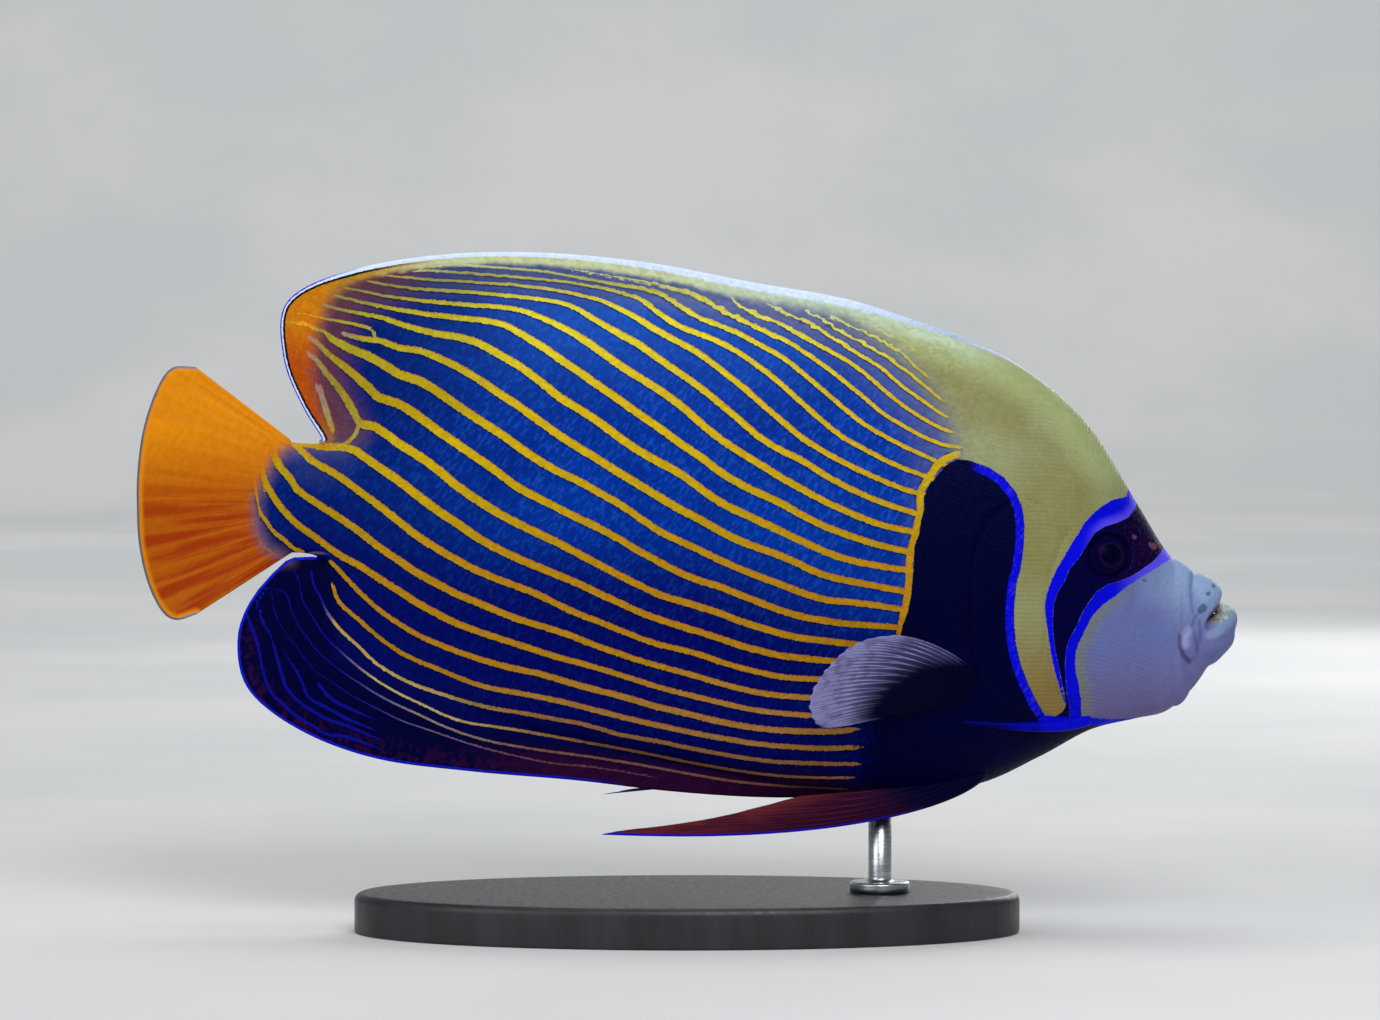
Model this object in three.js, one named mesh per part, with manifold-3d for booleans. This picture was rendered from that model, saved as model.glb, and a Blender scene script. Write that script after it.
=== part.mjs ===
// Emperor angelfish, a still life-size model on a plain display stand.
// Millimetres. +X runs towards the mouth, +Y to the fish's left and +Z up.
// The origin is on the floor, under the middle of the stand's base.
import * as THREE from "three";
import { mergeVertices } from "three/addons/utils/BufferGeometryUtils.js";
import Module from "manifold-3d";

const wasm = await Module();
wasm.setup();

// Driving dimensions.
const gap = 0.3; // kept between pieces that touch
const bodyColumns = 42; // rings along the body
const bodyAround = 28; // points round each ring
const backSharpness = 1.18; // above 1 draws the section in to a ridge
const bellySharpness = 1.05;
const dorsalRays = 34; // 14 spines and 20 soft rays
const analRays = 23; // 3 spines and 20 soft rays
const tailRays = 17;
const pectoralRays = 16;
const pelvicRays = 6;
const finEdgeHalf = 0.27; // half the thickness of a fin at its margin
const membraneHalf = 0.32; // half the thickness of the skin between rays
const rayHeight = 0.42; // how far a ray stands above the membrane
const finSink = 4.5; // how deep a fin's root starts inside the body
const eye = { x: 125.4, z: 114.3, radius: 8.2, depth: 5, proud: 1.7 };
const orbit = { radius: 11, depth: 4.5, proud: 0.9 };
const nostrils = [
  { x: 133.2, z: 119.9, radius: 1.1 },
  { x: 139.3, z: 116.3, radius: 0.9 },
];
const base = { length: 200, width: 100, height: 12, bevel: 2.5 };
const rod = { x: 58, radius: 3.5, footRadius: 9, footHeight: 3, top: 60 };

// The trunk and head without fins: each row is x, back, belly, half width.
const ribs = [
  [-120.6, 147.4, 114.2, 2.2],
  [-110.7, 146.8, 112.8, 4.2],
  [-102.6, 148.5, 103.5, 6.0],
  [-92.7, 161.4, 88.8, 8.4],
  [-78.6, 173.1, 75.9, 11.4],
  [-56.1, 184.5, 64.5, 15.4],
  [-26.1, 190.2, 56.4, 19.6],
  [3.9, 190.5, 49.8, 22.6],
  [33.9, 186.6, 43.8, 24.4],
  [63.9, 181.5, 40.8, 25.2],
  [87.9, 176.1, 44.7, 25.0],
  [105.9, 165.9, 52.8, 23.6],
  [120.9, 151.8, 60.8, 20.8],
  [134.4, 129.9, 64.2, 16.8],
  [143.4, 115.2, 66.3, 13.4],
  [150.3, 108.0, 71.8, 10.6],
  [154.5, 104.0, 77.0, 8.4],
  [157.2, 99.5, 81.9, 6.2],
];

// Guide rays of the fins in the fish's mid-plane: root x, root z, tip x, tip z.
const dorsalGuides = [
  [74.4, 179.2, 77.0, 180.8],
  [51.9, 183.3, 48.9, 189.9],
  [24.9, 187.5, 18.9, 195.3],
  [-2.1, 190.6, -11.1, 201.0],
  [-29.1, 189.9, -42.6, 204.0],
  [-51.6, 185.7, -74.1, 203.4],
  [-69.6, 178.5, -102.6, 198.3],
  [-83.1, 170.4, -120.0, 189.0],
  [-92.7, 161.4, -120.9, 172.5],
  [-98.7, 153.4, -115.5, 158.4],
  [-101.8, 149.4, -109.8, 149.0],
];
const analGuides = [
  [48.9, 42.3, 47.4, 40.6],
  [27.9, 45.0, 21.9, 40.5],
  [3.9, 49.7, -5.1, 42.3],
  [-20.1, 55.0, -33.6, 45.6],
  [-44.1, 61.0, -65.1, 48.3],
  [-63.6, 67.5, -93.6, 52.2],
  [-78.6, 75.9, -116.1, 60.6],
  [-89.7, 85.5, -131.7, 72.9],
  [-97.5, 95.4, -135.0, 87.9],
  [-102.4, 103.5, -130.5, 100.0],
  [-105.4, 109.4, -118.5, 110.9],
];
const tailGuides = [
  [-117.3, 148.2, -147.3, 169.8],
  [-118.8, 146.4, -154.5, 169.5],
  [-120.3, 144.3, -159.0, 163.2],
  [-121.5, 140.1, -162.9, 151.5],
  [-122.1, 134.7, -164.7, 138.9],
  [-122.4, 129.9, -165.0, 127.8],
  [-122.1, 125.1, -164.5, 116.4],
  [-121.5, 120.3, -162.0, 105.0],
  [-120.3, 117.3, -157.8, 96.6],
  [-119.1, 115.4, -153.3, 93.9],
  [-117.6, 114.1, -147.3, 95.6],
];
// The paired fins have an outward step too: root x, z, tip x, z, how far the tip stands out, bow.
const pectoralGuides = [
  [83.8, 81.9, 61.8, 90.0, 9, 1.6],
  [83.2, 79.9, 54.3, 88.8, 14, 2.6],
  [82.5, 77.7, 48.3, 86.1, 19, 3.2],
  [81.9, 75.9, 43.5, 82.2, 23, 3.4],
  [81.3, 74.1, 39.3, 77.7, 25, 3.2],
  [80.4, 72.3, 36.6, 72.3, 26, 2.6],
  [79.2, 70.8, 37.2, 66.9, 25, 1.8],
  [78.0, 69.6, 41.4, 64.5, 22, 1.0],
  [76.8, 68.7, 51.9, 65.7, 15, 0.4],
];
const pelvicGuides = [
  [90.3, 48.9, -25.5, 30.9, 10, -6.4],
  [86.4, 47.9, -19.1, 31.7, 9.2, -5.4],
  [82.5, 47.2, -4.6, 33.2, 8, -4.2],
  [78.3, 46.6, 9.4, 35.0, 6.6, -2.8],
  [74.4, 46.0, 23.4, 36.9, 5, -1.6],
  [69.9, 45.3, 36.4, 38.6, 3.2, -0.6],
];
const pelvicRootY = 6.5;
const leftPelvicLift = 9; // the left pelvic fin is carried higher at its tip

// The rear edge of the gill cover, which parts the head from the trunk.
const gillLine = [
  [89.4, 186],
  [87.6, 160],
  [86.4, 135.9],
  [84.3, 111.9],
  [83.7, 87.9],
  [86.4, 69.9],
  [93.9, 56.4],
  [99, 34],
];
const stalkLineX = -107.2;
const gillCover = [
  [110.8, 126.5],
  [99.9, 129.9],
  [89.5, 124.4],
  [85.0, 111.9],
  [84.4, 96.9],
  [85.5, 81.9],
  [90.0, 71.5],
  [99.0, 66.6],
  [110.0, 67.0],
  [114.0, 76.0],
  [112.6, 92.0],
  [113.2, 110.0],
];
const gillPlate = { proud: 0.7, depth: 1.4 };

// Mouth, all in the mid-plane's x and z with a half width.
const upperLip = { corner: [154.6, 92.6], front: [155.7, 103.0], halfWidth: 7.4, thin: 1.2, thick: 4.6 };
const lowerLip = { corner: [155.6, 90.4], front: [161.7, 94.6], halfWidth: 7.0, thin: 1.4, thick: 3.4 };
const chin = { x: 154.2, z: 87.6, long: 9.8, wide: 8.0, tall: 8.0 };
const mouthHollow = { x: 157.6, z: 96.6, long: 6, wide: 5.2, tall: 3.4 };
const lipPad = { x: 149.9, z: 87.1, long: 2.3, wide: 1.7, tall: 4.9 };
const teeth = { count: 11, radius: 0.5, height: 2.3, sunk: 0.9, spread: 0.62 };

// The cheek spine: x, z and radius from the corner of the cheek to the tip.
const cheekSpine = [
  [120.4, 64.6, 2.2],
  [113.0, 62.9, 2.1],
  [105.9, 62.1, 1.8],
  [96.0, 62.4, 1.3],
  [88.0, 63.3, 0.8],
  [82.0, 64.2, 0.35],
];

// Catmull-Rom through rows of numbers, t from 0 to 1.
function alongRows(rows, t) {
  const last = rows.length - 1;
  const s = THREE.MathUtils.clamp(t, 0, 1) * last;
  const i = Math.min(Math.floor(s), last - 1);
  const f = s - i;
  const [a, b, c, d] = [rows[Math.max(i - 1, 0)], rows[i], rows[i + 1], rows[Math.min(i + 2, last)]];
  return b.map((q, k) => {
    const slope = c[k] - a[k];
    const bend = 2 * a[k] - 5 * q + 4 * c[k] - d[k];
    const twist = 3 * q - a[k] - 3 * c[k] + d[k];
    return 0.5 * (2 * q + slope * f + bend * f * f + twist * f * f * f);
  });
}

function ribAt(t, grow) {
  const [x, back, belly, half] = alongRows(ribs, t);
  return { x, back: back + grow, belly: belly - grow, half: half + grow, middle: (back + belly) / 2 };
}

// A point of the body's skin: t runs along it and angle round it, from the back down the left side.
function bodyPoint(t, angle, grow) {
  const rib = ribAt(t, grow);
  const up = Math.cos(angle);
  const out = Math.sin(angle);
  const reach = up > 0 ? rib.back - rib.middle : rib.middle - rib.belly;
  const sharpness = up > 0 ? backSharpness : bellySharpness;
  const y = Math.sign(out) * Math.abs(out) ** sharpness * rib.half;
  return new THREE.Vector3(rib.x, y, rib.middle + up * reach);
}

// The half width of the body at x and z.
function flankAt(x, z) {
  let [low, high] = [0, 1];
  for (let step = 0; step < 30; step++) {
    const t = (low + high) / 2;
    if (ribAt(t, 0).x < x) low = t;
    else high = t;
  }
  const rib = ribAt(low, 0);
  const reach = z > rib.middle ? rib.back - rib.middle : rib.middle - rib.belly;
  const up = THREE.MathUtils.clamp((z - rib.middle) / reach, -1, 1);
  const sharpness = z > rib.middle ? backSharpness : bellySharpness;
  return rib.half * Math.sqrt(1 - up * up) ** sharpness;
}

// A closed three.js geometry as a solid that can be joined and cut.
function solid(geometry) {
  const bare = geometry.clone();
  bare.deleteAttribute("normal");
  bare.deleteAttribute("uv");
  const merged = mergeVertices(bare, 1e-4);
  const vertProperties = new Float32Array(merged.attributes.position.array);
  const triVerts = new Uint32Array(merged.index.array);
  const made = new wasm.Manifold(new wasm.Mesh({ numProp: 3, vertProperties, triVerts }));
  if (made.volume() > 0) return made;
  for (let i = 0; i < triVerts.length; i += 3) {
    [triVerts[i], triVerts[i + 1]] = [triVerts[i + 1], triVerts[i]];
  }
  return new wasm.Manifold(new wasm.Mesh({ numProp: 3, vertProperties, triVerts }));
}

// The largest closed surface of a solid.
function largest(body) {
  return body.decompose().reduce((best, piece) => (piece.volume() > best.volume() ? piece : best));
}

// A ball of rings and points round them, each moved to where place(along, angle) says.
function wrapped(columns, around, place) {
  const ball = new THREE.SphereGeometry(1, around, columns);
  const { position, uv } = ball.attributes;
  for (let i = 0; i < position.count; i++) {
    const point = place(1 - uv.getY(i), uv.getX(i) * 2 * Math.PI);
    position.setXYZ(i, point.x, point.y, point.z);
  }
  return ball;
}

function bodySolid(grow) {
  const inner = bodyColumns - 2;
  const place = (along, angle) => {
    const ring = along * bodyColumns;
    if (ring < 0.5 || ring > bodyColumns - 0.5) {
      const end = ribAt(ring < 0.5 ? 0 : 1, 0);
      return new THREE.Vector3(end.x + (ring < 0.5 ? -1 : 1) * (grow + 0.6), 0, end.middle);
    }
    return bodyPoint((Math.round(ring) - 1) / inner, Math.round(angle * 1e6) / 1e6, grow);
  };
  return solid(wrapped(bodyColumns, bodyAround, place));
}

function ellipsoid(x, y, z, long, wide, tall, fineness = 16) {
  const ball = new THREE.SphereGeometry(1, fineness, Math.round(fineness * 0.6));
  ball.rotateX(Math.PI / 2).scale(long, wide, tall).translate(x, y, z);
  return solid(ball);
}

// A flat ellipsoid set in the flank at x and z, square to the skin and standing proud of it.
function button(side, x, z, { radius, depth, proud }, grow, fineness) {
  const alongSlope = (flankAt(x + 2, z) - flankAt(x - 2, z)) / 4;
  const upSlope = (flankAt(x, z + 2) - flankAt(x, z - 2)) / 4;
  const normal = new THREE.Vector3(-alongSlope, 1, -upSlope).normalize();
  const middle = new THREE.Vector3(x, flankAt(x, z), z).addScaledVector(normal, proud - depth);
  const ball = new THREE.SphereGeometry(1, fineness, Math.round(fineness * 0.6));
  ball.scale(radius + grow, depth + grow, radius + grow);
  ball.applyQuaternion(new THREE.Quaternion().setFromUnitVectors(new THREE.Vector3(0, 1, 0), normal));
  return solid(ball.translate(middle.x, middle.y, middle.z).scale(1, side, 1));
}

// A prism across the fish: the outline's points are x and z.
function across(outline, halfDepth = 80) {
  const shape = new THREE.Shape(outline.map(([x, z]) => new THREE.Vector2(x, z)));
  const prism = new THREE.ExtrudeGeometry(shape, { depth: 2 * halfDepth, bevelEnabled: false });
  return solid(prism.translate(0, 0, -halfDepth).rotateX(Math.PI / 2));
}

// A round bar that follows points of x, y, z and radius, with squash across its own plane.
function taperedBar(rows, steps, sides, squash = 1, grow = 0) {
  const centre = (t) => new THREE.Vector3(...alongRows(rows, t).slice(0, 3));
  const place = (along, angle) => {
    const ring = along * steps;
    const t = THREE.MathUtils.clamp((Math.round(ring) - 1) / (steps - 2), 0, 1);
    const point = centre(t);
    const forward = centre(Math.min(t + 0.02, 1)).sub(centre(Math.max(t - 0.02, 0))).normalize();
    if (ring < 0.5 || ring > steps - 0.5) {
      const radius = alongRows(rows, t)[3] + grow;
      return point.addScaledVector(forward, (ring < 0.5 ? -1 : 1) * radius * 0.6);
    }
    const side = new THREE.Vector3(1, 0, 0).addScaledVector(forward, -forward.x).normalize();
    const other = new THREE.Vector3().crossVectors(forward, side);
    const radius = alongRows(rows, t)[3];
    point.addScaledVector(side, Math.cos(angle) * (radius * squash + grow));
    return point.addScaledVector(other, Math.sin(angle) * (radius + grow));
  };
  return solid(wrapped(steps, sides, place));
}

// A thin vane about a middle surface, split into triangles alike on both faces.
function vane(columns, rows, middle, half) {
  const points = [];
  const index = [];
  const at = (face, i, j) => (face * (columns + 1) + i) * (rows + 1) + j;
  const quad = (a, b, c, d) => index.push(a, b, c, a, c, d);
  const small = 1e-3;
  for (const face of [0, 1]) {
    for (let i = 0; i <= columns; i++) {
      for (let j = 0; j <= rows; j++) {
        const [u, v] = [i / columns, j / rows];
        const along = middle(Math.min(u + small, 1), v).sub(middle(Math.max(u - small, 0), v));
        const outward = middle(u, Math.min(v + small, 1)).sub(middle(u, Math.max(v - small, 0)));
        const normal = along.cross(outward).normalize();
        const point = middle(u, v).addScaledVector(normal, (face ? -1 : 1) * half(i, u, v));
        points.push(point.x, point.y, point.z);
      }
    }
  }
  for (let i = 0; i < columns; i++) {
    for (let j = 0; j < rows; j++) {
      quad(at(0, i, j), at(0, i + 1, j), at(0, i + 1, j + 1), at(0, i, j + 1));
      index.push(at(1, i, j), at(1, i + 1, j + 1), at(1, i + 1, j));
      index.push(at(1, i, j), at(1, i, j + 1), at(1, i + 1, j + 1));
    }
    quad(at(0, i + 1, 0), at(0, i, 0), at(1, i, 0), at(1, i + 1, 0));
    quad(at(0, i, rows), at(0, i + 1, rows), at(1, i + 1, rows), at(1, i, rows));
  }
  for (let j = 0; j < rows; j++) {
    quad(at(0, 0, j), at(0, 0, j + 1), at(1, 0, j + 1), at(1, 0, j));
    quad(at(0, columns, j + 1), at(0, columns, j), at(1, columns, j), at(1, columns, j + 1));
  }
  const geometry = new THREE.BufferGeometry();
  geometry.setAttribute("position", new THREE.Float32BufferAttribute(points, 3));
  return solid(geometry.setIndex(index));
}

// Half thickness of a rayed fin: rays are the odd columns, and both thin out to the margin.
function rayedHalf(rootHalf, rayStrength = 1) {
  return (i, u, v) => {
    const ends = THREE.MathUtils.smoothstep(Math.min(u, 1 - u), 0, 0.12);
    const flesh = (0.3 + 0.7 * ends) * rootHalf * Math.exp(-5 * v);
    const ray = i % 2 ? rayHeight * rayStrength * (1 - v) ** 0.7 : 0;
    return finEdgeHalf + (membraneHalf - finEdgeHalf) * (1 - v) + flesh + ray;
  };
}

// A fin in the mid-plane, fanned between its guide rays, with its root sunk into the body.
function medianFin(guides, rays, rows, rootHalf, sway = () => 0) {
  const middle = (u, v) => {
    const [rootX, rootZ, tipX, tipZ] = alongRows(guides, u);
    const length = Math.hypot(tipX - rootX, tipZ - rootZ);
    const f = -finSink / length + v * (1 + finSink / length);
    const [x, z] = [rootX + (tipX - rootX) * f, rootZ + (tipZ - rootZ) * f];
    return new THREE.Vector3(x, sway(u, f), z);
  };
  return vane(2 * rays, rows, middle, rayedHalf(rootHalf));
}

// A paired fin on the side given by side: -1 right, 1 left. rootY gives how far out its root is.
function pairedFin(guides, rays, rows, side, rootY, lift = 0, rootHalf = 0.6) {
  const middle = (u, v) => {
    const [rootX, rootZ, tipX, tipZ, stand, bow] = alongRows(guides, u);
    const sway = 4 * v * (1 - v);
    const x = rootX + (tipX - rootX) * v;
    const z = rootZ + (tipZ - rootZ) * v + bow * sway + lift * v * v;
    const y = rootY(rootX, rootZ) + stand * v ** 1.1;
    return new THREE.Vector3(x, side * y, z);
  };
  return vane(2 * rays, rows, middle, rayedHalf(rootHalf, 0.8));
}

// A lip: a horseshoe from the mouth's left corner round the front to the right one.
function lip({ corner, front, halfWidth, thin, thick }, grow) {
  const rows = [-1, -0.78, -0.42, 0, 0.42, 0.78, 1].map((t) => {
    const bulge = Math.cos((t * Math.PI) / 2) ** 0.8;
    const x = corner[0] + (front[0] - corner[0]) * bulge;
    const z = corner[1] + (front[1] - corner[1]) * bulge;
    return [x, halfWidth * Math.sin((t * Math.PI) / 2), z, thin + (thick - thin) * bulge];
  });
  return taperedBar(rows, 14, 12, 1, grow);
}

function lowerJaw(grow) {
  const chinBall = ellipsoid(chin.x, 0, chin.z, chin.long + grow, chin.wide + grow, chin.tall + grow);
  return lip(lowerLip, grow).add(chinBall);
}

// Brush teeth: small cones along the inner edge of the lower lip.
function jawWithTeeth() {
  let jaw = lowerJaw(0);
  for (let k = 0; k < teeth.count; k++) {
    const t = (2 * k) / (teeth.count - 1) - 1;
    const angle = (t * teeth.spread * Math.PI) / 2;
    const bulge = Math.cos(angle) ** 0.8;
    const x = lowerLip.corner[0] + (lowerLip.front[0] - lowerLip.corner[0]) * bulge - 0.8;
    const lipTop = lowerLip.thin + (lowerLip.thick - lowerLip.thin) * bulge;
    const z = lowerLip.corner[1] + (lowerLip.front[1] - lowerLip.corner[1]) * bulge + lipTop;
    const cone = new THREE.ConeGeometry(teeth.radius, teeth.height, 5).rotateX(Math.PI / 2);
    cone.rotateY(-0.35).translate(x, lowerLip.halfWidth * Math.sin(angle), z + teeth.height / 2 - teeth.sunk);
    jaw = jaw.add(solid(cone));
  }
  return largest(jaw);
}

function eyeBall(side, grow) {
  return button(side, eye.x, eye.z, eye, grow, 18);
}

function halfSpace(side) {
  return solid(new THREE.BoxGeometry(400, 80, 400).translate(0, side * 40.1, 0));
}

// The gill cover: a plate that follows the flank, on one side.
function gillPlateSolid(side, grow) {
  const curve = new THREE.CatmullRomCurve3(gillCover.map(([x, z]) => new THREE.Vector3(x, 0, z)), true);
  const centre = [99.5, 97];
  const outline = curve.getPoints(30).slice(0, -1).map(({ x, z }) => {
    const away = Math.hypot(x - centre[0], z - centre[1]);
    return [x + ((x - centre[0]) / away) * grow, z + ((z - centre[1]) / away) * grow];
  });
  const prism = across(outline).intersect(halfSpace(side));
  const outer = bodySolid(gillPlate.proud + grow);
  return largest(prism.intersect(outer).subtract(bodySolid(-gillPlate.depth - grow)));
}

function cheekSpineSolid(side) {
  const rows = cheekSpine.map(([x, z, radius]) => [x, side * (flankAt(x, z) + gap + 0.5 * radius), z, radius]);
  return taperedBar(rows, 12, 8);
}

const wholeBody = bodySolid(0);
const clearOfBody = bodySolid(gap);

// The head, from the snout back to the gill line, with its sockets, pits and mouth.
function headSolid() {
  const region = gillLine.map(([x, z]) => [x + gap / 2, z]);
  let head = wholeBody.intersect(across([...region, [200, 34], [200, 186]].reverse()));
  for (const side of [-1, 1]) {
    const rim = button(side, eye.x, eye.z, orbit, 0, 18);
    const padY = flankAt(lipPad.x, lipPad.z) - 0.6;
    const pad = ellipsoid(lipPad.x, side * padY, lipPad.z, lipPad.long, lipPad.wide, lipPad.tall, 10);
    head = head.add(rim).add(pad);
  }
  head = head.subtract(lip(upperLip, gap)).subtract(lowerJaw(gap));
  const hollow = mouthHollow;
  head = head.subtract(ellipsoid(hollow.x, 0, hollow.z, hollow.long, hollow.wide, hollow.tall, 12));
  for (const side of [-1, 1]) {
    head = head.subtract(eyeBall(side, gap)).subtract(gillPlateSolid(side, gap));
    for (const { x, z, radius } of nostrils) {
      head = head.subtract(ellipsoid(x, side * flankAt(x, z), z, radius, radius * 1.4, radius, 8));
    }
  }
  return largest(head);
}

function trunkSolid() {
  const region = gillLine.map(([x, z]) => [x - gap / 2, z]);
  const rear = stalkLineX + gap / 2;
  let trunk = wholeBody.intersect(across([...region, [rear, 34], [rear, 200]].reverse()));
  for (const side of [-1, 1]) trunk = trunk.subtract(gillPlateSolid(side, gap));
  return largest(trunk);
}

function stalkSolid() {
  const rear = stalkLineX - gap / 2;
  return largest(wholeBody.intersect(across([[-200, 34], [rear, 34], [rear, 200], [-200, 200]])));
}

function standBase() {
  const radius = base.length / 2;
  const profile = [
    [0, 0],
    [radius - base.bevel / 2, 0],
    [radius, base.bevel / 2],
    [radius, base.height - base.bevel],
    [radius - base.bevel, base.height],
    [0, base.height],
  ];
  const turned = new THREE.LatheGeometry(profile.map(([r, h]) => new THREE.Vector2(r, h)), 48);
  return solid(turned.rotateX(Math.PI / 2).scale(1, base.width / base.length, 1));
}

function standRod() {
  const foot = base.height + gap;
  const profile = [
    [0, foot],
    [rod.footRadius, foot],
    [rod.footRadius, foot + rod.footHeight * 0.6],
    [rod.footRadius - 1.5, foot + rod.footHeight],
    [rod.radius, foot + rod.footHeight],
    [rod.radius, rod.top],
    [0, rod.top],
  ];
  const turned = new THREE.LatheGeometry(profile.map(([r, h]) => new THREE.Vector2(r, h)), 20);
  const bar = solid(turned.rotateX(Math.PI / 2).translate(rod.x, 0, 0));
  return largest(bar.subtract(clearOfBody));
}

// The tail's slow fold: a wave across its rays that grows towards the margin.
const tailSway = (u, f) => 1.1 * Math.sin(u * 3.4 * Math.PI + 0.6) * Math.max(f, 0) ** 1.3;

const finish = (color, roughness, metalness = 0) =>
  new THREE.MeshStandardMaterial({ color, roughness, metalness });
const blueSkin = finish(0x1b3f9a, 0.45);
const yellowSkin = finish(0xa9a35c, 0.45);
const paleSkin = finish(0x9fa9c8, 0.45);
const orangeFin = finish(0xf09a10, 0.5);
const paleFin = finish(0x9c93b5, 0.5);
const darkFin = finish(0x3a1026, 0.5);
const spineBlue = finish(0x1a1ad0, 0.35);
const eyeDark = finish(0x0b0a14, 0.08);
const baseBlack = finish(0x22242a, 0.5);
const rodSteel = finish(0xb8bcc2, 0.3, 1);

const group = new THREE.Group();
function add(name, body, material) {
  const { vertProperties, triVerts } = body.getMesh();
  const geometry = new THREE.BufferGeometry();
  geometry.setAttribute("position", new THREE.Float32BufferAttribute(vertProperties, 3));
  geometry.setIndex(new THREE.Uint32BufferAttribute(triVerts, 1));
  geometry.computeVertexNormals();
  const mesh = new THREE.Mesh(geometry, material);
  mesh.name = name;
  group.add(mesh);
}

add("head", headSolid(), yellowSkin);
add("trunk", trunkSolid(), blueSkin);
add("tail_stalk", stalkSolid(), blueSkin);
add("upper_lip", largest(lip(upperLip, 0).subtract(lowerJaw(gap))), paleSkin);
add("lower_jaw", jawWithTeeth(), paleSkin);
add("dorsal_fin", largest(medianFin(dorsalGuides, dorsalRays, 4, 1.7).subtract(clearOfBody)), blueSkin);
add("anal_fin", largest(medianFin(analGuides, analRays, 4, 1.7).subtract(clearOfBody)), blueSkin);
add("tail_fin", largest(medianFin(tailGuides, tailRays, 6, 1.3, tailSway).subtract(clearOfBody)), orangeFin);
for (const [side, word] of [[-1, "right"], [1, "left"]]) {
  const pectoralRoot = (x, z) => flankAt(x, z) - 1;
  const pectoral = pairedFin(pectoralGuides, pectoralRays, 5, side, pectoralRoot);
  const lift = side > 0 ? leftPelvicLift : 0;
  const pelvic = pairedFin(pelvicGuides, pelvicRays, 8, side, () => pelvicRootY, lift, 0.8);
  add(`gill_cover_${word}`, gillPlateSolid(side, 0), yellowSkin);
  add(`cheek_spine_${word}`, largest(cheekSpineSolid(side).subtract(clearOfBody)), spineBlue);
  add(`eye_${word}`, eyeBall(side, 0), eyeDark);
  add(`pectoral_fin_${word}`, largest(pectoral.subtract(clearOfBody)), paleFin);
  add(`pelvic_fin_${word}`, largest(pelvic.subtract(clearOfBody)), darkFin);
}
add("stand_base", standBase(), baseBlack);
add("stand_rod", standRod(), rodSteel);

export default group;
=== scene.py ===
# Emperor angelfish, a still life-size model on a plain display stand.
# Sizes are in millimetres until a mesh is made. +X runs to the mouth, +Z up and -Y to the side shown.
import math

import bmesh
import bpy
import numpy as np
from mathutils import Matrix, Vector


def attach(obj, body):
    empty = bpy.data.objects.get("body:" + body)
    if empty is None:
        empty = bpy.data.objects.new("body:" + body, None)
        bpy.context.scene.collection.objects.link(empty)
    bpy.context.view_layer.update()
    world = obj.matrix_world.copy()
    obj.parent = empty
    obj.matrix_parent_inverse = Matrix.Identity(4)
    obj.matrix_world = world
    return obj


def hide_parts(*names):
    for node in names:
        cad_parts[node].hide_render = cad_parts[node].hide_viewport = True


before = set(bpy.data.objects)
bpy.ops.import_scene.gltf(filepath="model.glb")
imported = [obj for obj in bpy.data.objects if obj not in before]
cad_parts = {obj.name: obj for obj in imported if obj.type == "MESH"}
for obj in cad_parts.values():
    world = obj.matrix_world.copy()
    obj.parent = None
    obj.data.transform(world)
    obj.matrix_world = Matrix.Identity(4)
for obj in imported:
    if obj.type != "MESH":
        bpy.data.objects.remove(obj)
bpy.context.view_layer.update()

metre = 0.001


# Small helpers for curves and meshes.

def smoothRows(rows, count):
    # Catmull-Rom through rows of numbers, as count samples
    rows = np.array(rows, float)
    last = len(rows) - 1
    s = np.linspace(0, last, count)
    i = np.minimum(s.astype(int), last - 1)
    f = (s - i)[:, None]
    a, b, c, d = rows[np.maximum(i - 1, 0)], rows[i], rows[i + 1], rows[np.minimum(i + 2, last)]
    bend = 2 * a - 5 * b + 4 * c - d
    twist = 3 * b - a - 3 * c + d
    return 0.5 * (2 * b + (c - a) * f + bend * f * f + twist * f ** 3)


def ramp(value, low, high):
    t = np.clip((value - low) / (high - low), 0, 1)
    return t * t * (3 - 2 * t)


def bump(distance, width):
    return np.exp(-((distance / width) ** 2))


def roundOff(edge, width):
    # rises from 0 at an edge to 1 at the width, like a quarter of a circle
    return np.sqrt(np.clip(1 - (1 - np.clip(edge / width, 0, 1)) ** 2, 0, 1))


def newObject(name, data):
    made = bpy.data.objects.new(name, data)
    bpy.context.scene.collection.objects.link(made)
    return made


def shadeSmooth(mesh):
    mesh.polygons.foreach_set("use_smooth", np.ones(len(mesh.polygons), bool))


def meshPiece(name, points, faces):
    mesh = bpy.data.meshes.new(name)
    mesh.vertices.add(len(points))
    mesh.vertices.foreach_set("co", (np.asarray(points, float) * metre).ravel())
    mesh.loops.add(faces.size)
    mesh.loops.foreach_set("vertex_index", faces.ravel())
    mesh.polygons.add(len(faces))
    mesh.polygons.foreach_set("loop_start", np.arange(len(faces)) * faces.shape[1])
    mesh.update(calc_edges=True)
    mesh.validate()
    shadeSmooth(mesh)
    return newObject(name, mesh)


def weldPoints(piece, bridges=()):
    # joins points that coincide, adds the faces of bridges and turns every face outwards
    work = bmesh.new()
    work.from_mesh(piece.data)
    work.verts.ensure_lookup_table()
    for bridge in bridges:
        work.faces.new([work.verts[k] for k in bridge])
    bmesh.ops.remove_doubles(work, verts=work.verts, dist=2e-6)
    if not bridges:
        bmesh.ops.dissolve_degenerate(work, edges=work.edges, dist=1e-7)
    bmesh.ops.recalc_face_normals(work, faces=work.faces)
    work.to_mesh(piece.data)
    work.free()
    shadeSmooth(piece.data)


def setField(mesh, name, values):
    layer = mesh.attributes.get(name) or mesh.attributes.new(name, "FLOAT", "POINT")
    layer.data.foreach_set("value", np.asarray(values, np.float32))


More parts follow.
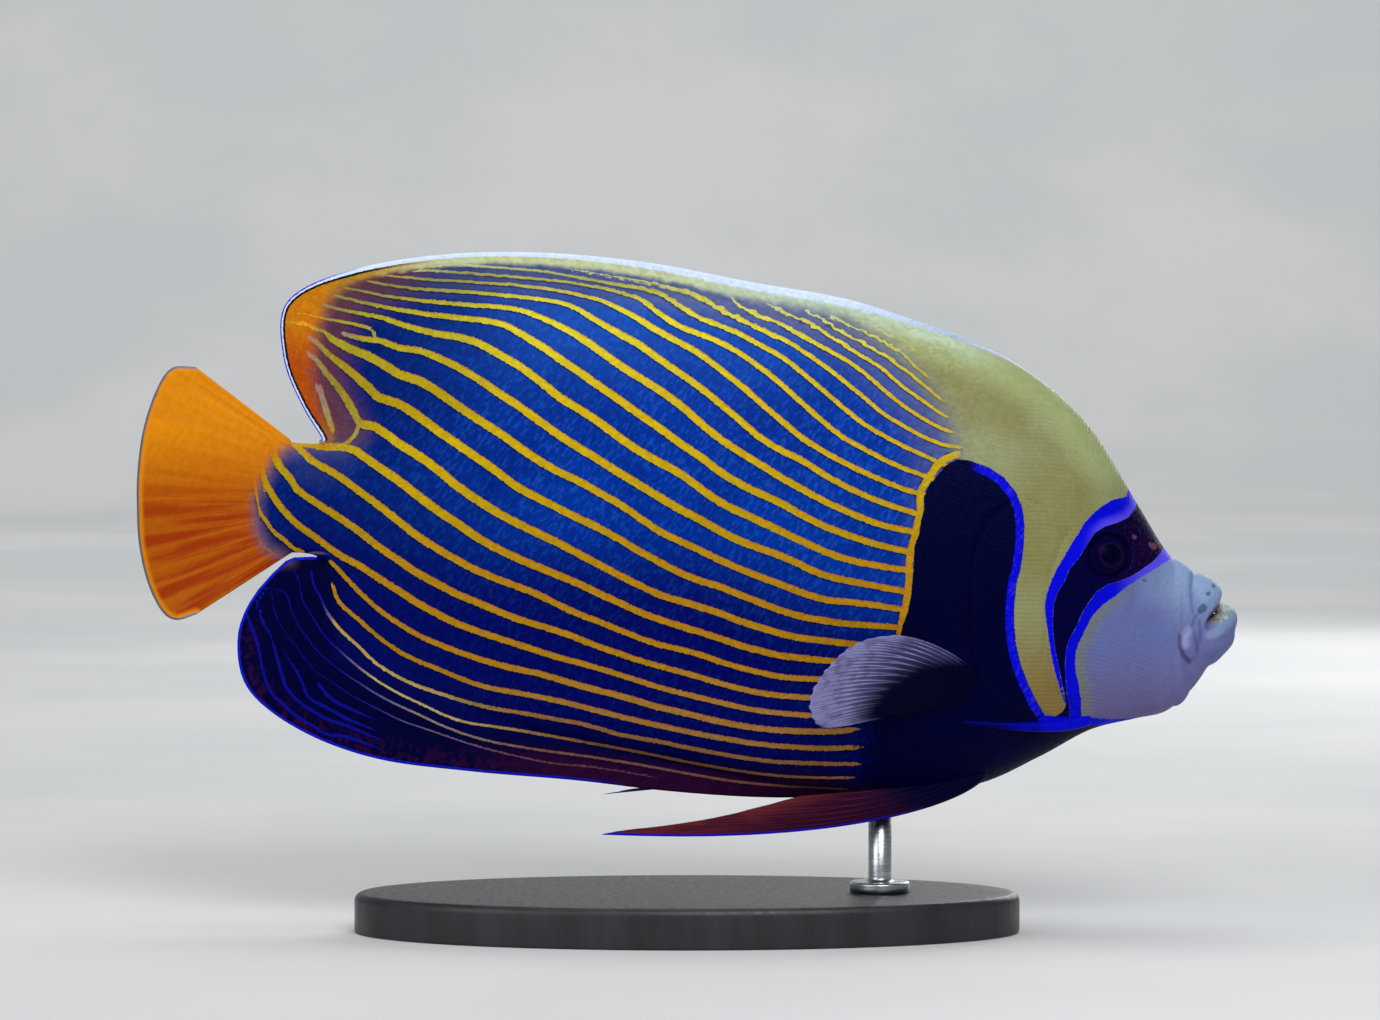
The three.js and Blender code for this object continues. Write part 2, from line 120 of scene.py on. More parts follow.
def gridFaces(columns, rows, wrapRows=False):
    # quads of a grid whose point number is column * rows + row
    across, up = np.arange(columns - 1), np.arange(rows if wrapRows else rows - 1)
    i, j = np.meshgrid(across, up, indexing="ij")
    k = (j + 1) % rows
    quads = np.stack([i * rows + j, (i + 1) * rows + j, (i + 1) * rows + k, i * rows + k], -1)
    return quads.reshape(-1, 4)


# The body: each rib is x, back, belly and half width.
body = {
    "ribs": [
        [-120.6, 147.4, 114.2, 2.2], [-110.7, 146.8, 112.8, 4.2], [-102.6, 148.5, 103.5, 6.0],
        [-92.7, 161.4, 88.8, 8.4], [-78.6, 173.1, 75.9, 11.4], [-56.1, 184.5, 64.5, 15.4],
        [-26.1, 190.2, 56.4, 19.6], [3.9, 190.5, 49.8, 22.6], [33.9, 186.6, 43.8, 24.4],
        [63.9, 181.5, 40.8, 25.2], [87.9, 176.1, 44.7, 25.0], [105.9, 165.9, 52.8, 23.6],
        [120.9, 151.8, 60.8, 20.8], [134.4, 129.9, 64.2, 16.8], [143.4, 115.2, 66.3, 13.4],
        [150.3, 108.0, 71.8, 10.6], [154.5, 104.0, 77.0, 8.4], [157.2, 99.5, 81.9, 6.2],
    ],
    "backSharpness": 1.18,
    "bellySharpness": 1.05,
    "stalkEnd": -118.5,
    "headStart": 84.0,
    "muzzleStart": 146.0,
    "stalkColumns": 10,
    "trunkColumns": 162,
    "headColumns": 78,
    "muzzleRings": 46,
    "tailColumns": 34,
    "rows": 145,
}
# Guide rays of the fins in the fish's mid-plane: root x, root z, tip x, tip z.
fins = {
    "dorsal": [
        [86.0, 176.8, 86.2, 176.9], [80.0, 178.2, 81.6, 179.0], [74.4, 179.2, 77.0, 180.8],
        [51.9, 183.3, 48.9, 189.9], [24.9, 187.5, 18.9, 195.3], [-2.1, 190.6, -11.1, 201.0],
        [-29.1, 189.9, -42.6, 204.0], [-51.6, 185.7, -74.1, 203.4], [-69.6, 178.5, -102.6, 198.3],
        [-83.1, 170.4, -120.0, 189.0], [-92.7, 161.4, -120.9, 172.5], [-98.7, 153.4, -115.5, 158.4],
        [-101.8, 149.4, -109.8, 149.0], [-107.0, 147.4, -110.1, 148.0], [-110.0, 146.9, -110.4, 147.0],
    ],
    "anal": [
        [60.0, 41.0, 60.0, 40.9], [48.9, 42.3, 47.4, 40.6], [27.9, 45.0, 21.9, 40.5],
        [3.9, 49.7, -5.1, 42.3], [-20.1, 55.0, -33.6, 45.6], [-44.1, 61.0, -65.1, 48.3],
        [-63.6, 67.5, -93.6, 52.2], [-78.6, 75.9, -116.1, 60.6], [-89.7, 85.5, -131.7, 72.9],
        [-97.5, 95.4, -135.0, 87.9], [-102.4, 103.5, -130.6, 100.4], [-105.4, 107.2, -120.8, 111.3],
        [-107.6, 109.6, -116.2, 112.7], [-109.6, 111.8, -111.6, 112.9],
    ],
    "tail": [
        [-118.5, 147.8, -147.3, 169.8], [-119.2, 146.4, -154.5, 169.5], [-120.3, 144.3, -159.0, 163.2],
        [-121.5, 140.1, -162.9, 151.5], [-122.1, 134.7, -164.7, 138.9], [-122.4, 129.9, -165.0, 127.8],
        [-122.1, 125.1, -164.5, 116.4], [-121.5, 120.3, -162.0, 105.0], [-120.3, 117.3, -157.8, 96.6],
        [-119.4, 115.4, -153.3, 93.9], [-118.5, 114.2, -147.3, 95.6],
    ],
    "dorsalRays": 34,
    "analRays": 23,
    "tailRays": 17,
    "edgeHalf": 0.3,
    "rayHeight": 0.34,
    "baseSwell": 2.1,
    "baseReach": 7.0,
}
ribTable = smoothRows(body["ribs"], 3000)


def ribAt(x):
    # back, belly and half width of the body at x
    return [np.interp(x, ribTable[:, 0], ribTable[:, k]) for k in (1, 2, 3)]


def bodyHalf(x, z):
    # half thickness of the trunk and head at x and z, without fins
    back, belly, half = ribAt(x)
    middle = (back + belly) / 2
    reach = (back - belly) / 2
    up = np.clip((z - middle) / reach, -1, 1)
    sharpness = np.where(up > 0, body["backSharpness"], body["bellySharpness"])
    return half * np.sqrt(1 - up * up) ** sharpness


def guideTips(name, rootX):
    # where a fin's edge is above or below a root at rootX
    table = smoothRows(fins[name], 1200)[::-1]
    tipX = np.interp(rootX, table[:, 0], table[:, 2])
    tipZ = np.interp(rootX, table[:, 0], table[:, 3])
    return tipX, tipZ


# Marks and edges are laid out on a side view in squares of 0.3 mm, counted from its upper left corner.
chart = {"square": 0.3, "zeroX": 687.0, "topZ": 279.9}


def chartX(x):
    return x / chart["square"] + chart["zeroX"]


def chartY(z):
    return (chart["topZ"] - z) / chart["square"]


def lineDistance(px, py, points, closed=False):
    # distance to a line in chart squares; with closed, it is positive inside the outline
    points = np.array(points, float)
    ends = np.roll(points, -1, 0) if closed else points[1:]
    starts = points if closed else points[:-1]
    best = np.full(px.shape, 1e9)
    inside = np.zeros(px.shape, bool)
    for (ax, ay), (bx, by) in zip(starts, ends):
        dx, dy = bx - ax, by - ay
        t = np.clip(((px - ax) * dx + (py - ay) * dy) / max(dx * dx + dy * dy, 1e-9), 0, 1)
        best = np.minimum(best, (px - ax - t * dx) ** 2 + (py - ay - t * dy) ** 2)
        if closed and ay != by:
            inside ^= ((ay > py) != (by > py)) & (px < ax + (py - ay) / (by - ay) * dx)
    best = np.sqrt(best)
    return np.where(inside, best, -best) if closed else best


def even(first, heights):
    # points of a line, 20 squares apart
    return [[first + 20 * k, height] for k, height in enumerate(heights)]


# Stripes from the back to the belly: the centre line, its widest half width, and where it fades.
stripes = [
    {"half": 1.5, "fade": [915, 932], "starts": [866, 874], "line": [
        [868, 325], [880, 330], [890, 336], [903, 341], [912, 349], [930, 362]]},
    {"half": 1.7, "fade": [922, 942], "starts": [823, 831], "line": [
        [825, 312], [840, 321], [860, 328], [878, 339], [890, 348], [900, 352], [910, 363], [930, 380],
        [950, 394]]},
    {"half": 1.9, "fade": [938, 958], "starts": [798, 806], "line": [
        *even(800, [308, 319, 332, 342, 353, 367, 382, 399, 410])]},
    {"half": 2.1, "fade": [940, 962], "starts": [760, 768], "line": [
        [762, 301], *even(780, [311, 318, 330, 343.5, 355, 365, 385, 399, 413]), [965, 424]]},
    {"half": 2.3, "fade": [945, 965], "starts": [725, 733], "line": [
        [727, 295], *even(740, [306, 316, 324, 334.6, 346, 356, 370, 388, 403.5, 417, 427.4]),
        [965, 433]]},
    {"half": 2.4, "fade": [955, 975], "starts": [556, 572], "line": [
        [560, 268], [600, 275], [640, 281], [683, 291], [710, 303], [730, 314.5], [746, 322], [770, 333.7],
        [790, 341], *even(820, [363, 378, 394.5, 413, 423.6, 435, 442.5]), [970, 446]]},
    {"half": 2.6, "starts": [400, 425], "line": [
        [405, 269], [430, 267], [460, 264], [500, 268], [540, 269.7], [580, 278], [620, 286], [655, 292],
        *even(680, [308, 317.5, 325, 334, 346, 355.7, 371, 387.7, 405, 421, 433, 443.7, 452.6]),
        [934, 459.5]]},
    {"half": 2.9, "starts": [392, 418], "line": [
        [398, 272.5], [428, 270.6], [460, 273], [500, 275.8], [540, 279.2], [580, 284], *even(620, [292,
        299, 316, 326, 333.5, 342, 352.8, 367, 382.4, 401, 418.8, 434.5, 445, 456.5, 466.3, 472.7])]},
    {"half": 3.2, "starts": [368, 392], "line": [
        [374, 274.5], [400, 276.4], [440, 281], [480, 282.5], [520, 285], [560, 291], *even(600, [298.3,
        308.8, 319.3, 331.7, 342, 353.7, 369, 384, 401.6, 418.8, 437, 448, 459, 469, 478, 486]),
        [916, 490.5]]},
    {"half": 3.5, "starts": [358, 370], "line": [
        [360, 279.2], [400, 287], [440, 290.7], [480, 293], [520, 297], *even(560, [302.5, 310, 322, 334,
        344.6, 359.5, 372.5, 385.3, 402.5, 418.8, 436, 449, 458, 471, 481.7, 491.4, 499.6]),
        [911, 509.6]]},
    {"half": 3.8, "starts": [335, 347], "line": [
        [337, 285.5], [360, 291], [400, 298], [440, 302.3], [480, 306], [510, 308], [530, 312.3],
        *even(560, [325.5, 335.6, 350, 365, 376.7, 388.6, 403.5, 421.7, 437, 450, 462.5, 475, 486, 497.4,
        506, 515, 521.8]), [910, 528]]},
    {"half": 3.9, "starts": [326, 337], "line": [
        [328, 294], [350, 299], [380, 306], [420, 313], [460, 318], *even(500, [323.2, 333.7, 344.3, 358.5,
        371, 385.3, 398.7, 413, 426.4, 441.8, 454.5, 470.3, 481.5, 491, 500.3, 511.8, 521.5, 529, 536.5,
        542.5]), [906, 548]]},
    {"half": 4.0, "starts": [315, 325], "line": [
        [317, 303], [346, 310.4], *even(380, [317, 323.6, 329.5, 334, 336, 343.3, 354.8, 365.3, 378.7,
        395.5, 407.3, 420.7, 436, 449, 460.5, 471, 485.9, 499.3, 509, 518.4, 528, 537.3, 547, 554, 559,
        562.4]), [904, 566]]},
    {"half": 2.2, "fade": [372, 373], "between": 374, "line": [
        [300, 314], [314, 316], [325, 319], [340, 321.3], [360, 325.5], [370, 328.4], [374, 332]]},
    {"half": 4.0, "starts": [336, 344], "line": [
        [320, 325], [341, 333], [360, 338], [382, 341], *even(400, [347.7, 350.4, 357.7, 367.2, 378.7, 392,
        404.5, 419, 434, 446, 457.2, 470.6, 482, 494.5, 507, 516.5, 528, 537.6, 545.2, 552, 561, 570,
        575.5, 579, 583]), [902, 587]]},
    {"half": 4.0, "line": [
        [285, 322], [305, 323], [315, 327.4], [325, 329.5], [334, 339], [350, 348], [370, 356.7],
        [390, 368], *even(400, [374, 380.6, 391, 405.5, 419, 431, 445, 458.5, 470.5, 479, 490.7, 501.2,
        514.6, 528, 537.6, 547, 556.7, 565.3, 573, 580.6, 588.3, 594.5, 597, 599]), [900, 605]]},
    {"half": 4.0, "fade": [890, 915], "starts": [300, 312], "line": [
        [307, 336.6], [314.5, 340.4], [322, 347], [330, 354.8], [350, 370.7], [370, 388.3],
        *even(380, [397, 403.6, 415.5, 430, 443.5, 457, 470, 485.5, 495.6, 506, 516.5, 525.3, 535.7, 548,
        558.6, 569, 577.8, 583, 591, 598.8, 606.5, 612, 615.3, 618.7, 620]), [885, 622]]},
    {"half": 4.0, "fade": [860, 890], "starts": [300, 310], "line": [
        [305, 350], [315.5, 358.6], [322, 366.3], [330, 376.8], [340, 389.2], [350, 404.5], [356, 415],
        [360, 422], [367, 424.6], [375, 425.6], [380, 428.5], [390, 435], *even(400, [442.5, 454.5, 468,
        485, 498.4, 511, 521.4, 531, 539.6, 551, 561.5, 572, 581.6, 591, 597, 603, 608.4, 617, 622.7,
        629.4, 634, 636]), [855, 640]]},
    {"half": 3.0, "fade": [334, 338], "starts": [311, 318], "between": 337, "line": [
        [300, 362], [316, 385], [321, 393], [326, 408], [331, 422], [337, 433]]},
    {"half": 3.9, "fade": [850, 885], "line": [
        [326, 446], [342, 446.7], [355, 449.6], [367, 457], *even(380, [466, 479.3, 494.6, 509, 521.4,
        535.8, 547, 556, 564.5, 572.5, 580, 590.2, 598.8, 608.4, 616, 622, 628, 634.5, 641.8, 646.6, 652,
        653.5]), [837, 657]]},
    {"half": 3.4, "fade": [850, 885], "line": [
        [281, 440.6], [289, 440], [300, 448], [310, 458], *even(320, [464.3, 475.6, 489.8, 504, 519.5,
        534.8, 547.2, 558.7, 569.2, 577, 584, 592, 602, 611, 617.5, 626.5, 634.5, 641, 645, 650.7, 658,
        663.6, 668, 672.3]), [820, 675]]},
    {"half": 3.4, "fade": [845, 880], "line": [
        [274.3, 449.7], [277, 458.5], [283, 468.5], [291, 478.5], *even(300, [490.5, 504, 516.5, 530,
        545.3, 558.7, 572, 582.6, 593, 600.7, 609, 616.5, 622.7, 628.5, 635.5, 643.5, 650, 657, 662.5, 668,
        673.2, 679.5, 684.8, 688.8, 692]), [808, 693.4]]},
    {"half": 3.2, "fade": [845, 880], "line": [
        [262.5, 461], [263.5, 468], [265.8, 481], [270, 489], [277, 500.5], [286, 512], *even(300, [525.5,
        539.5, 554, 564.5, 577, 589.3, 602, 612.7, 622.7, 629.4, 635.6, 642.3, 648.4, 654.7, 659.5, 665.5,
        671.4, 678, 684.3, 689.3, 693.8, 699, 703.6, 707, 709.3]), [814, 712]]},
    {"half": 2.8, "fade": [845, 880], "hidden": [306, 328], "line": [
        [257.7, 498], [259.6, 511], [266, 520], [274, 531], [284, 539], [294, 548], [306, 552.7],
        [320, 557], [331, 561.6], *even(340, [570.2, 591, 608.8, 622.6, 634.2, 642.7, 650.3, 657, 662.7,
        667.5, 671.3, 677, 682.8, 688, 693, 698.6, 704.5, 708.4, 713.8, 718.8, 722.3, 725, 726.8]),
        [820, 728.6], [840, 727], [860, 724.5]]},
    {"half": 2.4, "fade": [850, 885], "hidden": [288, 330], "line": [
        [247.6, 507], [253, 525.6], [260.5, 544], [270, 552], [284.5, 558.9], [305, 562], [322, 569],
        [332, 584.5], *even(340, [602.5, 620.5, 637.5, 651.2, 660.8, 668.4, 677, 683.7, 688.5, 691.4,
        694.8, 699, 703.8, 709, 714.3, 718.8, 723.2, 727.7, 731.8, 735.2, 738.4, 741.4, 743]), [820, 745],
        [861, 743.4]]},
    {"half": 1.9, "fade": [850, 885], "cool": [320, 338], "line": [
        [311, 566], [314, 584], [320, 596], [326.5, 611.5], [340, 629.3], [357, 645], [375.5, 662.7],
        *even(400, [678, 686.6, 693.3, 699.4, 704.8, 709, 711.5]), *even(560, [719, 722, 727, 733, 736.6,
        740.2, 744.6, 748.2, 751.8, 755.4, 758, 759.8]), [820, 761.3], [864, 761.3]]},
    {"half": 1.3, "fade": [845, 880], "cool": [324, 385], "line": [
        [294, 568], [299.5, 582], [302, 599], [310, 613], [324, 635], *even(340, [651.2, 668.4, 682.8,
        694.3, 703.8, 713.4, 721, 725, 727.4]), [540, 733.5], [580, 741], [600, 744.5], [640, 751.8],
        [680, 759.8], [700, 763.8], [740, 770.5], [780, 774.6], [820, 776.4], [853, 775.5]]},
    {"half": 1.1, "fade": [840, 875], "cool": [325, 420], "least": 0.3, "line": [
        [276, 590], [282, 590.7], [287, 596], [294.5, 619], [308.6, 640], *even(320, [654, 670.4, 683.8,
        696.2, 706.3, 715.3]), [442, 725.8], [460, 732.5], [480, 739.2], [500, 744], [540, 750.3],
        [580, 755.5], [600, 758.6], [640, 764.6], [680, 772.3], [700, 775.9], [740, 782.1], [780, 786.6],
        [846, 788.4]]},
    {"half": 0.8, "fade": [640, 720], "cool": [330, 460], "least": 0.45, "line": [
        [272, 596], [275.6, 616], [286, 634], [296, 647], [306, 661], [317, 673.5], [330, 681],
        [349, 694.3], [380, 710.5], [404, 722], [440, 733.5], [480, 747], [511, 754.5], [546, 762.2],
        [580, 766], [600, 768], [640, 774.1], [680, 781.3], [720, 788.4]]},
    {"half": 2.9, "fade": [340, 460], "starts": [312, 318], "cool": [1000, 1001], "line": [
        [268, 606], [276, 630], [288, 652], [302, 672], [317, 683], [331, 699], [349, 708.6], [400, 731]]},
    {"half": 2.9, "fade": [340, 460], "starts": [278, 284], "cool": [1000, 1001], "line": [
        [264, 608], [272, 632], [282, 647], [289, 658], [301.6, 680.5], [306, 694.5], [314, 701.6],
        [328, 708.6], [349, 720], [400, 741]]},
    {"half": 2.9, "fade": [340, 480], "cool": [1000, 1001], "line": [
        [260, 610], [263.7, 623], [272, 637], [274, 647], [278, 662], [282, 676], [286, 687.5], [296, 700],
        [308.6, 708.6], [328, 720], [349, 727], [420, 757]]},
    {"half": 2.9, "fade": [340, 480], "cool": [1000, 1001], "line": [
        [251, 627], [256, 640], [259.5, 654], [261.6, 669], [266.5, 683], [272, 694.5], [282, 704],
        [293, 714], [308.6, 724], [328, 735], [349, 738], [420, 764]]},
]
# How a stripe's width runs from the tail to the gill cover, as a share of its widest,
# and the most it can be at a distance from the dorsal fin's edge.
stripeTaper = {
    "at": [250, 330, 420, 520, 640, 820, 900, 940],
    "upper": [0.55, 0.65, 0.81, 0.91, 0.94, 0.82, 0.71, 0.67],
    "lower": [0.95, 0.98, 1.06, 0.93, 0.8, 0.78, 0.66, 0.6],
    "last": [0.64, 0.74, 0.88, 1.06, 1.1, 1.02, 0.9, 0.9],
    "fromEdge": [8, 30, 45, 60, 75, 100],
    "most": [0.95, 1.35, 1.85, 2.6, 3.2, 4.4],
    "growth": 62,
    "overall": 1.08,
    "firstLower": 15,
    "firstLast": 23,
    "narrowStarts": 18,
    "nearEdge": 14,
    "neverFades": [1200, 1201],
}

bandOuter = [
    [1146, 470], [1127, 489], [1124, 496], [1110, 498], [1100, 503], [1090, 510], [1080, 520],
    [1075, 528], [1067, 540], [1060, 552], [1052, 565], [1046, 578], [1042, 590], [1040.5, 600],
    [1041, 612], [1043, 625], [1047, 650], [1052, 670], [1058, 690], [1063, 703]]
bandInner = [
    [1150, 494], [1136, 500], [1134, 507], [1125, 516], [1115, 520], [1100, 524], [1090, 530],
    [1083, 540], [1075, 553], [1065, 565], [1060, 577], [1053, 588], [1049, 600], [1048, 620],
    [1050, 640], [1053, 655], [1057, 672], [1061, 690], [1066, 714]]
cheekUpper = [
    [1180, 540], [1163, 548], [1158, 553], [1150, 560], [1140, 566], [1128, 573], [1115, 578],
    [1103, 581], [1092, 588], [1083, 600], [1077, 610], [1072, 622], [1065, 635], [1062, 645],
    [1061, 660], [1062, 675], [1064, 690], [1067, 705], [1068, 722]]
cheekLower = [
    [1186, 550], [1170, 558], [1160, 563], [1150, 568], [1135, 576], [1122, 584], [1112, 592],
    [1100, 600], [1092, 607], [1085, 617], [1078, 632], [1074, 640], [1071, 652], [1072, 668],
    [1075, 680], [1078, 695], [1080, 722]]
patchFront = [
    [954, 457], [965, 458], [985, 465], [1000, 475], [1012, 490], [1018, 505], [1020, 522],
    [1019, 545], [1016, 565], [1012, 580], [1010, 600], [1010, 620], [1012, 640], [1017, 660],
    [1025, 680], [1035, 700], [1044, 714]]
patchRear = [
    [954, 457], [942, 463], [925, 483.6], [920.5, 494], [921, 505], [917.5, 517], [916, 529.5],
    [911, 543], [910.6, 560], [909, 577], [908, 591], [905, 606], [900, 620], [897, 633], [889, 655],
    [878, 680], [868, 710], [862, 745], [858, 790], [856, 850]]
outlines = {
    "patch": patchRear + [[1180, 850], [1180, 723], [1130, 722], [1080, 719], [1060, 716]] + patchFront[::-1],
    "bar": bandOuter + [[1060, 709], [1054, 713], [1044, 714]] + patchFront[::-1]
    + [[930, 440], [700, 330], [600, 200], [1000, 200]],
    "band": bandOuter + bandInner[::-1],
    "mask": bandInner[:-1] + [[1063, 703], [1060, 709], [1054, 713], [1044, 714], [1032, 711], [1036, 717],
                              [1052, 720]] + cheekUpper[::-1],
    "cheek": cheekUpper + cheekLower[::-1],
    "orange": [[412, 240], [392, 268], [352, 284], [334, 302], [322, 330], [318, 372], [324, 408],
               [336, 432], [330, 447], [200, 450], [200, 200]],
    "tailward": [[310, 436], [286, 443], [270, 456], [258, 478], [249, 500], [250, 530], [260, 552],
                 [280, 564], [270, 580], [150, 680], [90, 660], [90, 320], [160, 330]],
}
mouthMarks = {
    "lining": [
        [1216, 600], [1224, 601.5], [1231, 603], [1234, 608], [1232, 614], [1226, 617.5], [1219, 621],
        [1212, 626], [1206, 629.5], [1206, 622], [1211, 614], [1216, 607]],
    # the gap is where shade is painted in the open mouth
    "gap": [
        [1205, 629.5], [1206, 619.5], [1211, 611.5], [1216, 607], [1219.5, 610.5], [1218, 616.5],
        [1213, 622]],
    "roll": [[1208, 633.5], [1217, 629], [1226, 622.5], [1232, 615.5]],
    # the pad line is where a highlight is painted on the lip pad
    "pad": [[1186, 628], [1182, 634], [1182, 642]],
}
strokes = {
    "rim": {"half": 3.6, "line": [
        [954, 452], [940, 457.6], [934, 463], [925, 476], [917.5, 488], [916.7, 497], [917.5, 509.6],
        [913.6, 521.8], [911.3, 534], [907.5, 546.3], [906, 560], [906, 577], [903.7, 595],
        [900.6, 610], [897, 628]]},
    "fork": {"half": 2.0, "line": [[359.5, 424], [357.6, 432.3], [350, 441], [342, 445.5]]},
    "link": {"half": 1.7, "line": [[371, 328.6], [374.6, 333], [375, 338.5]]},
}
softLines = {
    "nape": [[780, 250], [830, 296], [880, 328], [915, 362], [940, 395], [955, 425], [962, 462]],
    "notch": [[300, 556], [314, 552.6], [328, 553]],
    "throat": [[1040, 716], [1060, 718], [1085, 720], [1110, 722], [1135, 722]],
}
pores = [[1131, 535, 2.4], [1152, 545, 3.2], [1148, 543, 2.0]]
spots = [[1200, 607, 4.5], [1206, 592, 2.6], [1212, 585, 2.0], [1141, 578, 2.2], [309, 371, 3.0]]


def finEdges():
    # the outer edges of the unpaired fins in chart squares
    edges = {}
    for name in ("dorsal", "anal", "tail"):
        rows = smoothRows(fins[name], 160)
        edges[name] = np.stack([chartX(rows[:, 2]), chartY(rows[:, 3])], 1)
    # the dorsal fin's edge runs on along the crown
    crown = ribTable[(ribTable[:, 0] > 88) & (ribTable[:, 0] < 126)][::-40]
    crown = np.stack([chartX(crown[:, 0]), chartY(crown[:, 1])], 1)
    edges["dorsal"] = np.concatenate([crown, edges["dorsal"]])
    return edges


def stripeCurve(line):
    # a smooth curve through the points, calmer from the tail's end of the body forwards
    def smooth(points):
        dense = smoothRows(points, 24 * len(line))
        return dense[np.argsort(dense[:, 0], kind="stable")]

    dense = smooth(line)
    calm = smooth(line[:1] + line[1:-1:2] + line[-1:])
    share = 0.55 * ramp(dense[:, 0], 400, 460)
    dense[:, 1] += (np.interp(dense[:, 0], calm[:, 0], calm[:, 1]) - dense[:, 1]) * share
    return dense


edgeLines = finEdges()
stripeCurves = [stripeCurve(stripe["line"]) for stripe in stripes]


def stripeHeights(px):
    # chart y and slope of every stripe at px, carried on beyond a stripe's ends
    heights, slopes = [], []
    for curve in stripeCurves:
        x, y = curve[:, 0], curve[:, 1]
        slope = np.gradient(y, np.maximum(x, x[0] + np.arange(len(x)) * 1e-4))
        startSlope = np.clip((y[24] - y[0]) / max(x[24] - x[0], 0.5), 0.15, 6.0)
        endSlope = np.clip((y[-1] - y[-20]) / max(x[-1] - x[-20], 0.5), -0.1, 0.6)
        height = np.interp(px, x, y)
        height = height + np.where(px < x[0], (px - x[0]) * startSlope, 0)
        height = height + np.where(px > x[-1], (px - x[-1]) * endSlope, 0)
        heights.append(height)
        slopes.append(np.interp(px, x, slope))
    for k, stripe in enumerate(stripes):
        if "between" in stripe:
            half = (heights[k - 1] + heights[k + 1]) / 2
            share = np.clip((px - stripe["between"]) / 6, 0, 1)
            heights[k] = heights[k] * (1 - share) + half * share
            slopes[k] = slopes[k] * (1 - share) + (slopes[k - 1] + slopes[k + 1]) / 2 * share
    heights = np.maximum.accumulate(np.array(heights) + np.arange(len(heights))[:, None] * 1e-3, 0)
    return heights, np.clip(np.array(slopes), -6, 6)


def stripeFields(px, py):
    # the place between two stripes, their spacing, and the half width and tint of the nearest
    square = chart["square"]
    heights, slopes = stripeHeights(px)
    above = (heights <= py[None]).sum(0)
    last = len(stripes) - 1
    upper = np.clip(above - 1, 0, last - 1)
    pick = np.arange(len(px))
    top, low = heights[upper, pick], heights[upper + 1, pick]
    gap = np.maximum(low - top, 0.8)
    phase = upper + np.clip((py - top) / gap, -0.5, 1.5)
    nearest = np.clip(np.round(phase).astype(int), 0, last)
    slope = slopes[nearest, pick]
    spacing = gap / np.sqrt(1 + slope * slope) * square
    half, cool, tip = np.zeros((3, len(px)))
    fromEdge = lineDistance(px, py, edgeLines["dorsal"])
    most = np.interp(fromEdge, stripeTaper["fromEdge"], stripeTaper["most"]) + 1.1 * ramp(px, 560, 720)
    for k, stripe in enumerate(stripes):
        here = nearest == k
        if not here.any():
            continue
        qx = px[here]
        strength = 1 - ramp(qx, *stripe.get("fade", stripeTaper["neverFades"]))
        if "starts" in stripe:
            start = stripe["starts"][0]
            strength = strength * ramp(qx, *stripe["starts"])
            tip[here] = 1 - ramp(qx, start + 4, start + 30)
        if "hidden" in stripe:
            begin, end = [ramp(qx, at - 3, at + 3) for at in stripe["hidden"]]
            strength = strength * (1 - begin * (1 - end))
        region = "last" if k >= stripeTaper["firstLast"] else "upper"
        if stripeTaper["firstLower"] <= k < stripeTaper["firstLast"]:
            region = "lower"
        taper = np.interp(qx, stripeTaper["at"], stripeTaper[region])
        if "cool" in stripe:
            cool[here] = 1 - ramp(qx, *stripe["cool"]) * (1 - stripe.get("least", 0.0))
            taper = taper * (1 - 0.3 * ramp(cool[here], 0.4, 1))
            strength = strength * ramp(py[here], 562, 572)
        width = stripeTaper["overall"] * stripe["half"] * taper
        if k < stripeTaper["narrowStarts"]:
            born = stripeCurves[k][0, 0]
            thin = 1 - ramp(qx, born - 12, born + stripeTaper["growth"])
            width = width * (1 - (0.25 if k < 8 else 0.6) * thin)
        if k < stripeTaper["nearEdge"]:
            width = np.minimum(width, most[here])
        half[here] = width * strength * square - 1.6 * (1 - strength)
    return {"phase": phase, "spacing": spacing, "half": half, "cool": cool, "tip": tip}


def markings(x, z):
    # every mark as fields in millimetres or shares, at x and z of the side view
    px, py = chartX(x), chartY(z)
    square = chart["square"]
    fields = stripeFields(px, py)
    for name, outline in outlines.items():
        fields[name] = lineDistance(px, py, outline, True) * square
    fields["patch"] = fields["patch"] / (0.12 + 4.5 * ramp(py, 640, 700) * (1 - ramp(px, 930, 990)))
    reach = [(lineDistance(px, py, stroke["line"]) - stroke["half"]) * square for stroke in strokes.values()]
    fields["stroke"] = np.minimum(9.0, np.min(reach, 0))
    line = softLines["nape"]
    far = [[line[-1][0], 1200], [-200, 1200], [-200, -200], [line[0][0], -200]]
    fields["nape"] = -lineDistance(px, py, line + far, True) * square
    fields["notch"] = (lineDistance(px, py, softLines["notch"]) - 1.3) * square
    fields["throat"] = (lineDistance(px, py, softLines["throat"]) - 4.0) * square
    for name, line in edgeLines.items():
        fields[name + "Edge"] = np.minimum(lineDistance(px, py, line) * square, 30)
    for name, dots in (("pore", pores), ("spot", spots)):
        reach = [(np.hypot(px - sx, py - sy) - radius) * square for sx, sy, radius in dots]
        fields[name] = np.minimum(9.0, np.min(reach, 0))
    front = px > 1150

    def nearMouth(line, width=1.0, closed=False, elsewhere=9.0):
        # a field that is worked out at the front of the head only
        values = np.full(len(px), elsewhere)
        values[front] = lineDistance(px[front], py[front], line, closed) * square / width
        return values

    # distances to the creases round the mouth, where shade is painted
    creases = [nearMouth(fold["line"], fold["width"]) for fold in folds[1:5]]
    fields["creaseShade"] = np.minimum(9.0, np.min(creases, 0))
    # the deepest fold, where a darker shade is painted
    fields["fold"] = nearMouth(folds[0]["line"], folds[0]["width"])
    # the lip pad's line, where a highlight is painted, and the lower lip's roll
    for name in ("pad", "roll"):
        fields[name] = nearMouth(mouthMarks[name])
    # the mouth's lining and its open gap, where shade is painted
    for name in ("lining", "gap"):
        fields[name] = nearMouth(mouthMarks[name], 1.0, True, -9.0)
    return fields


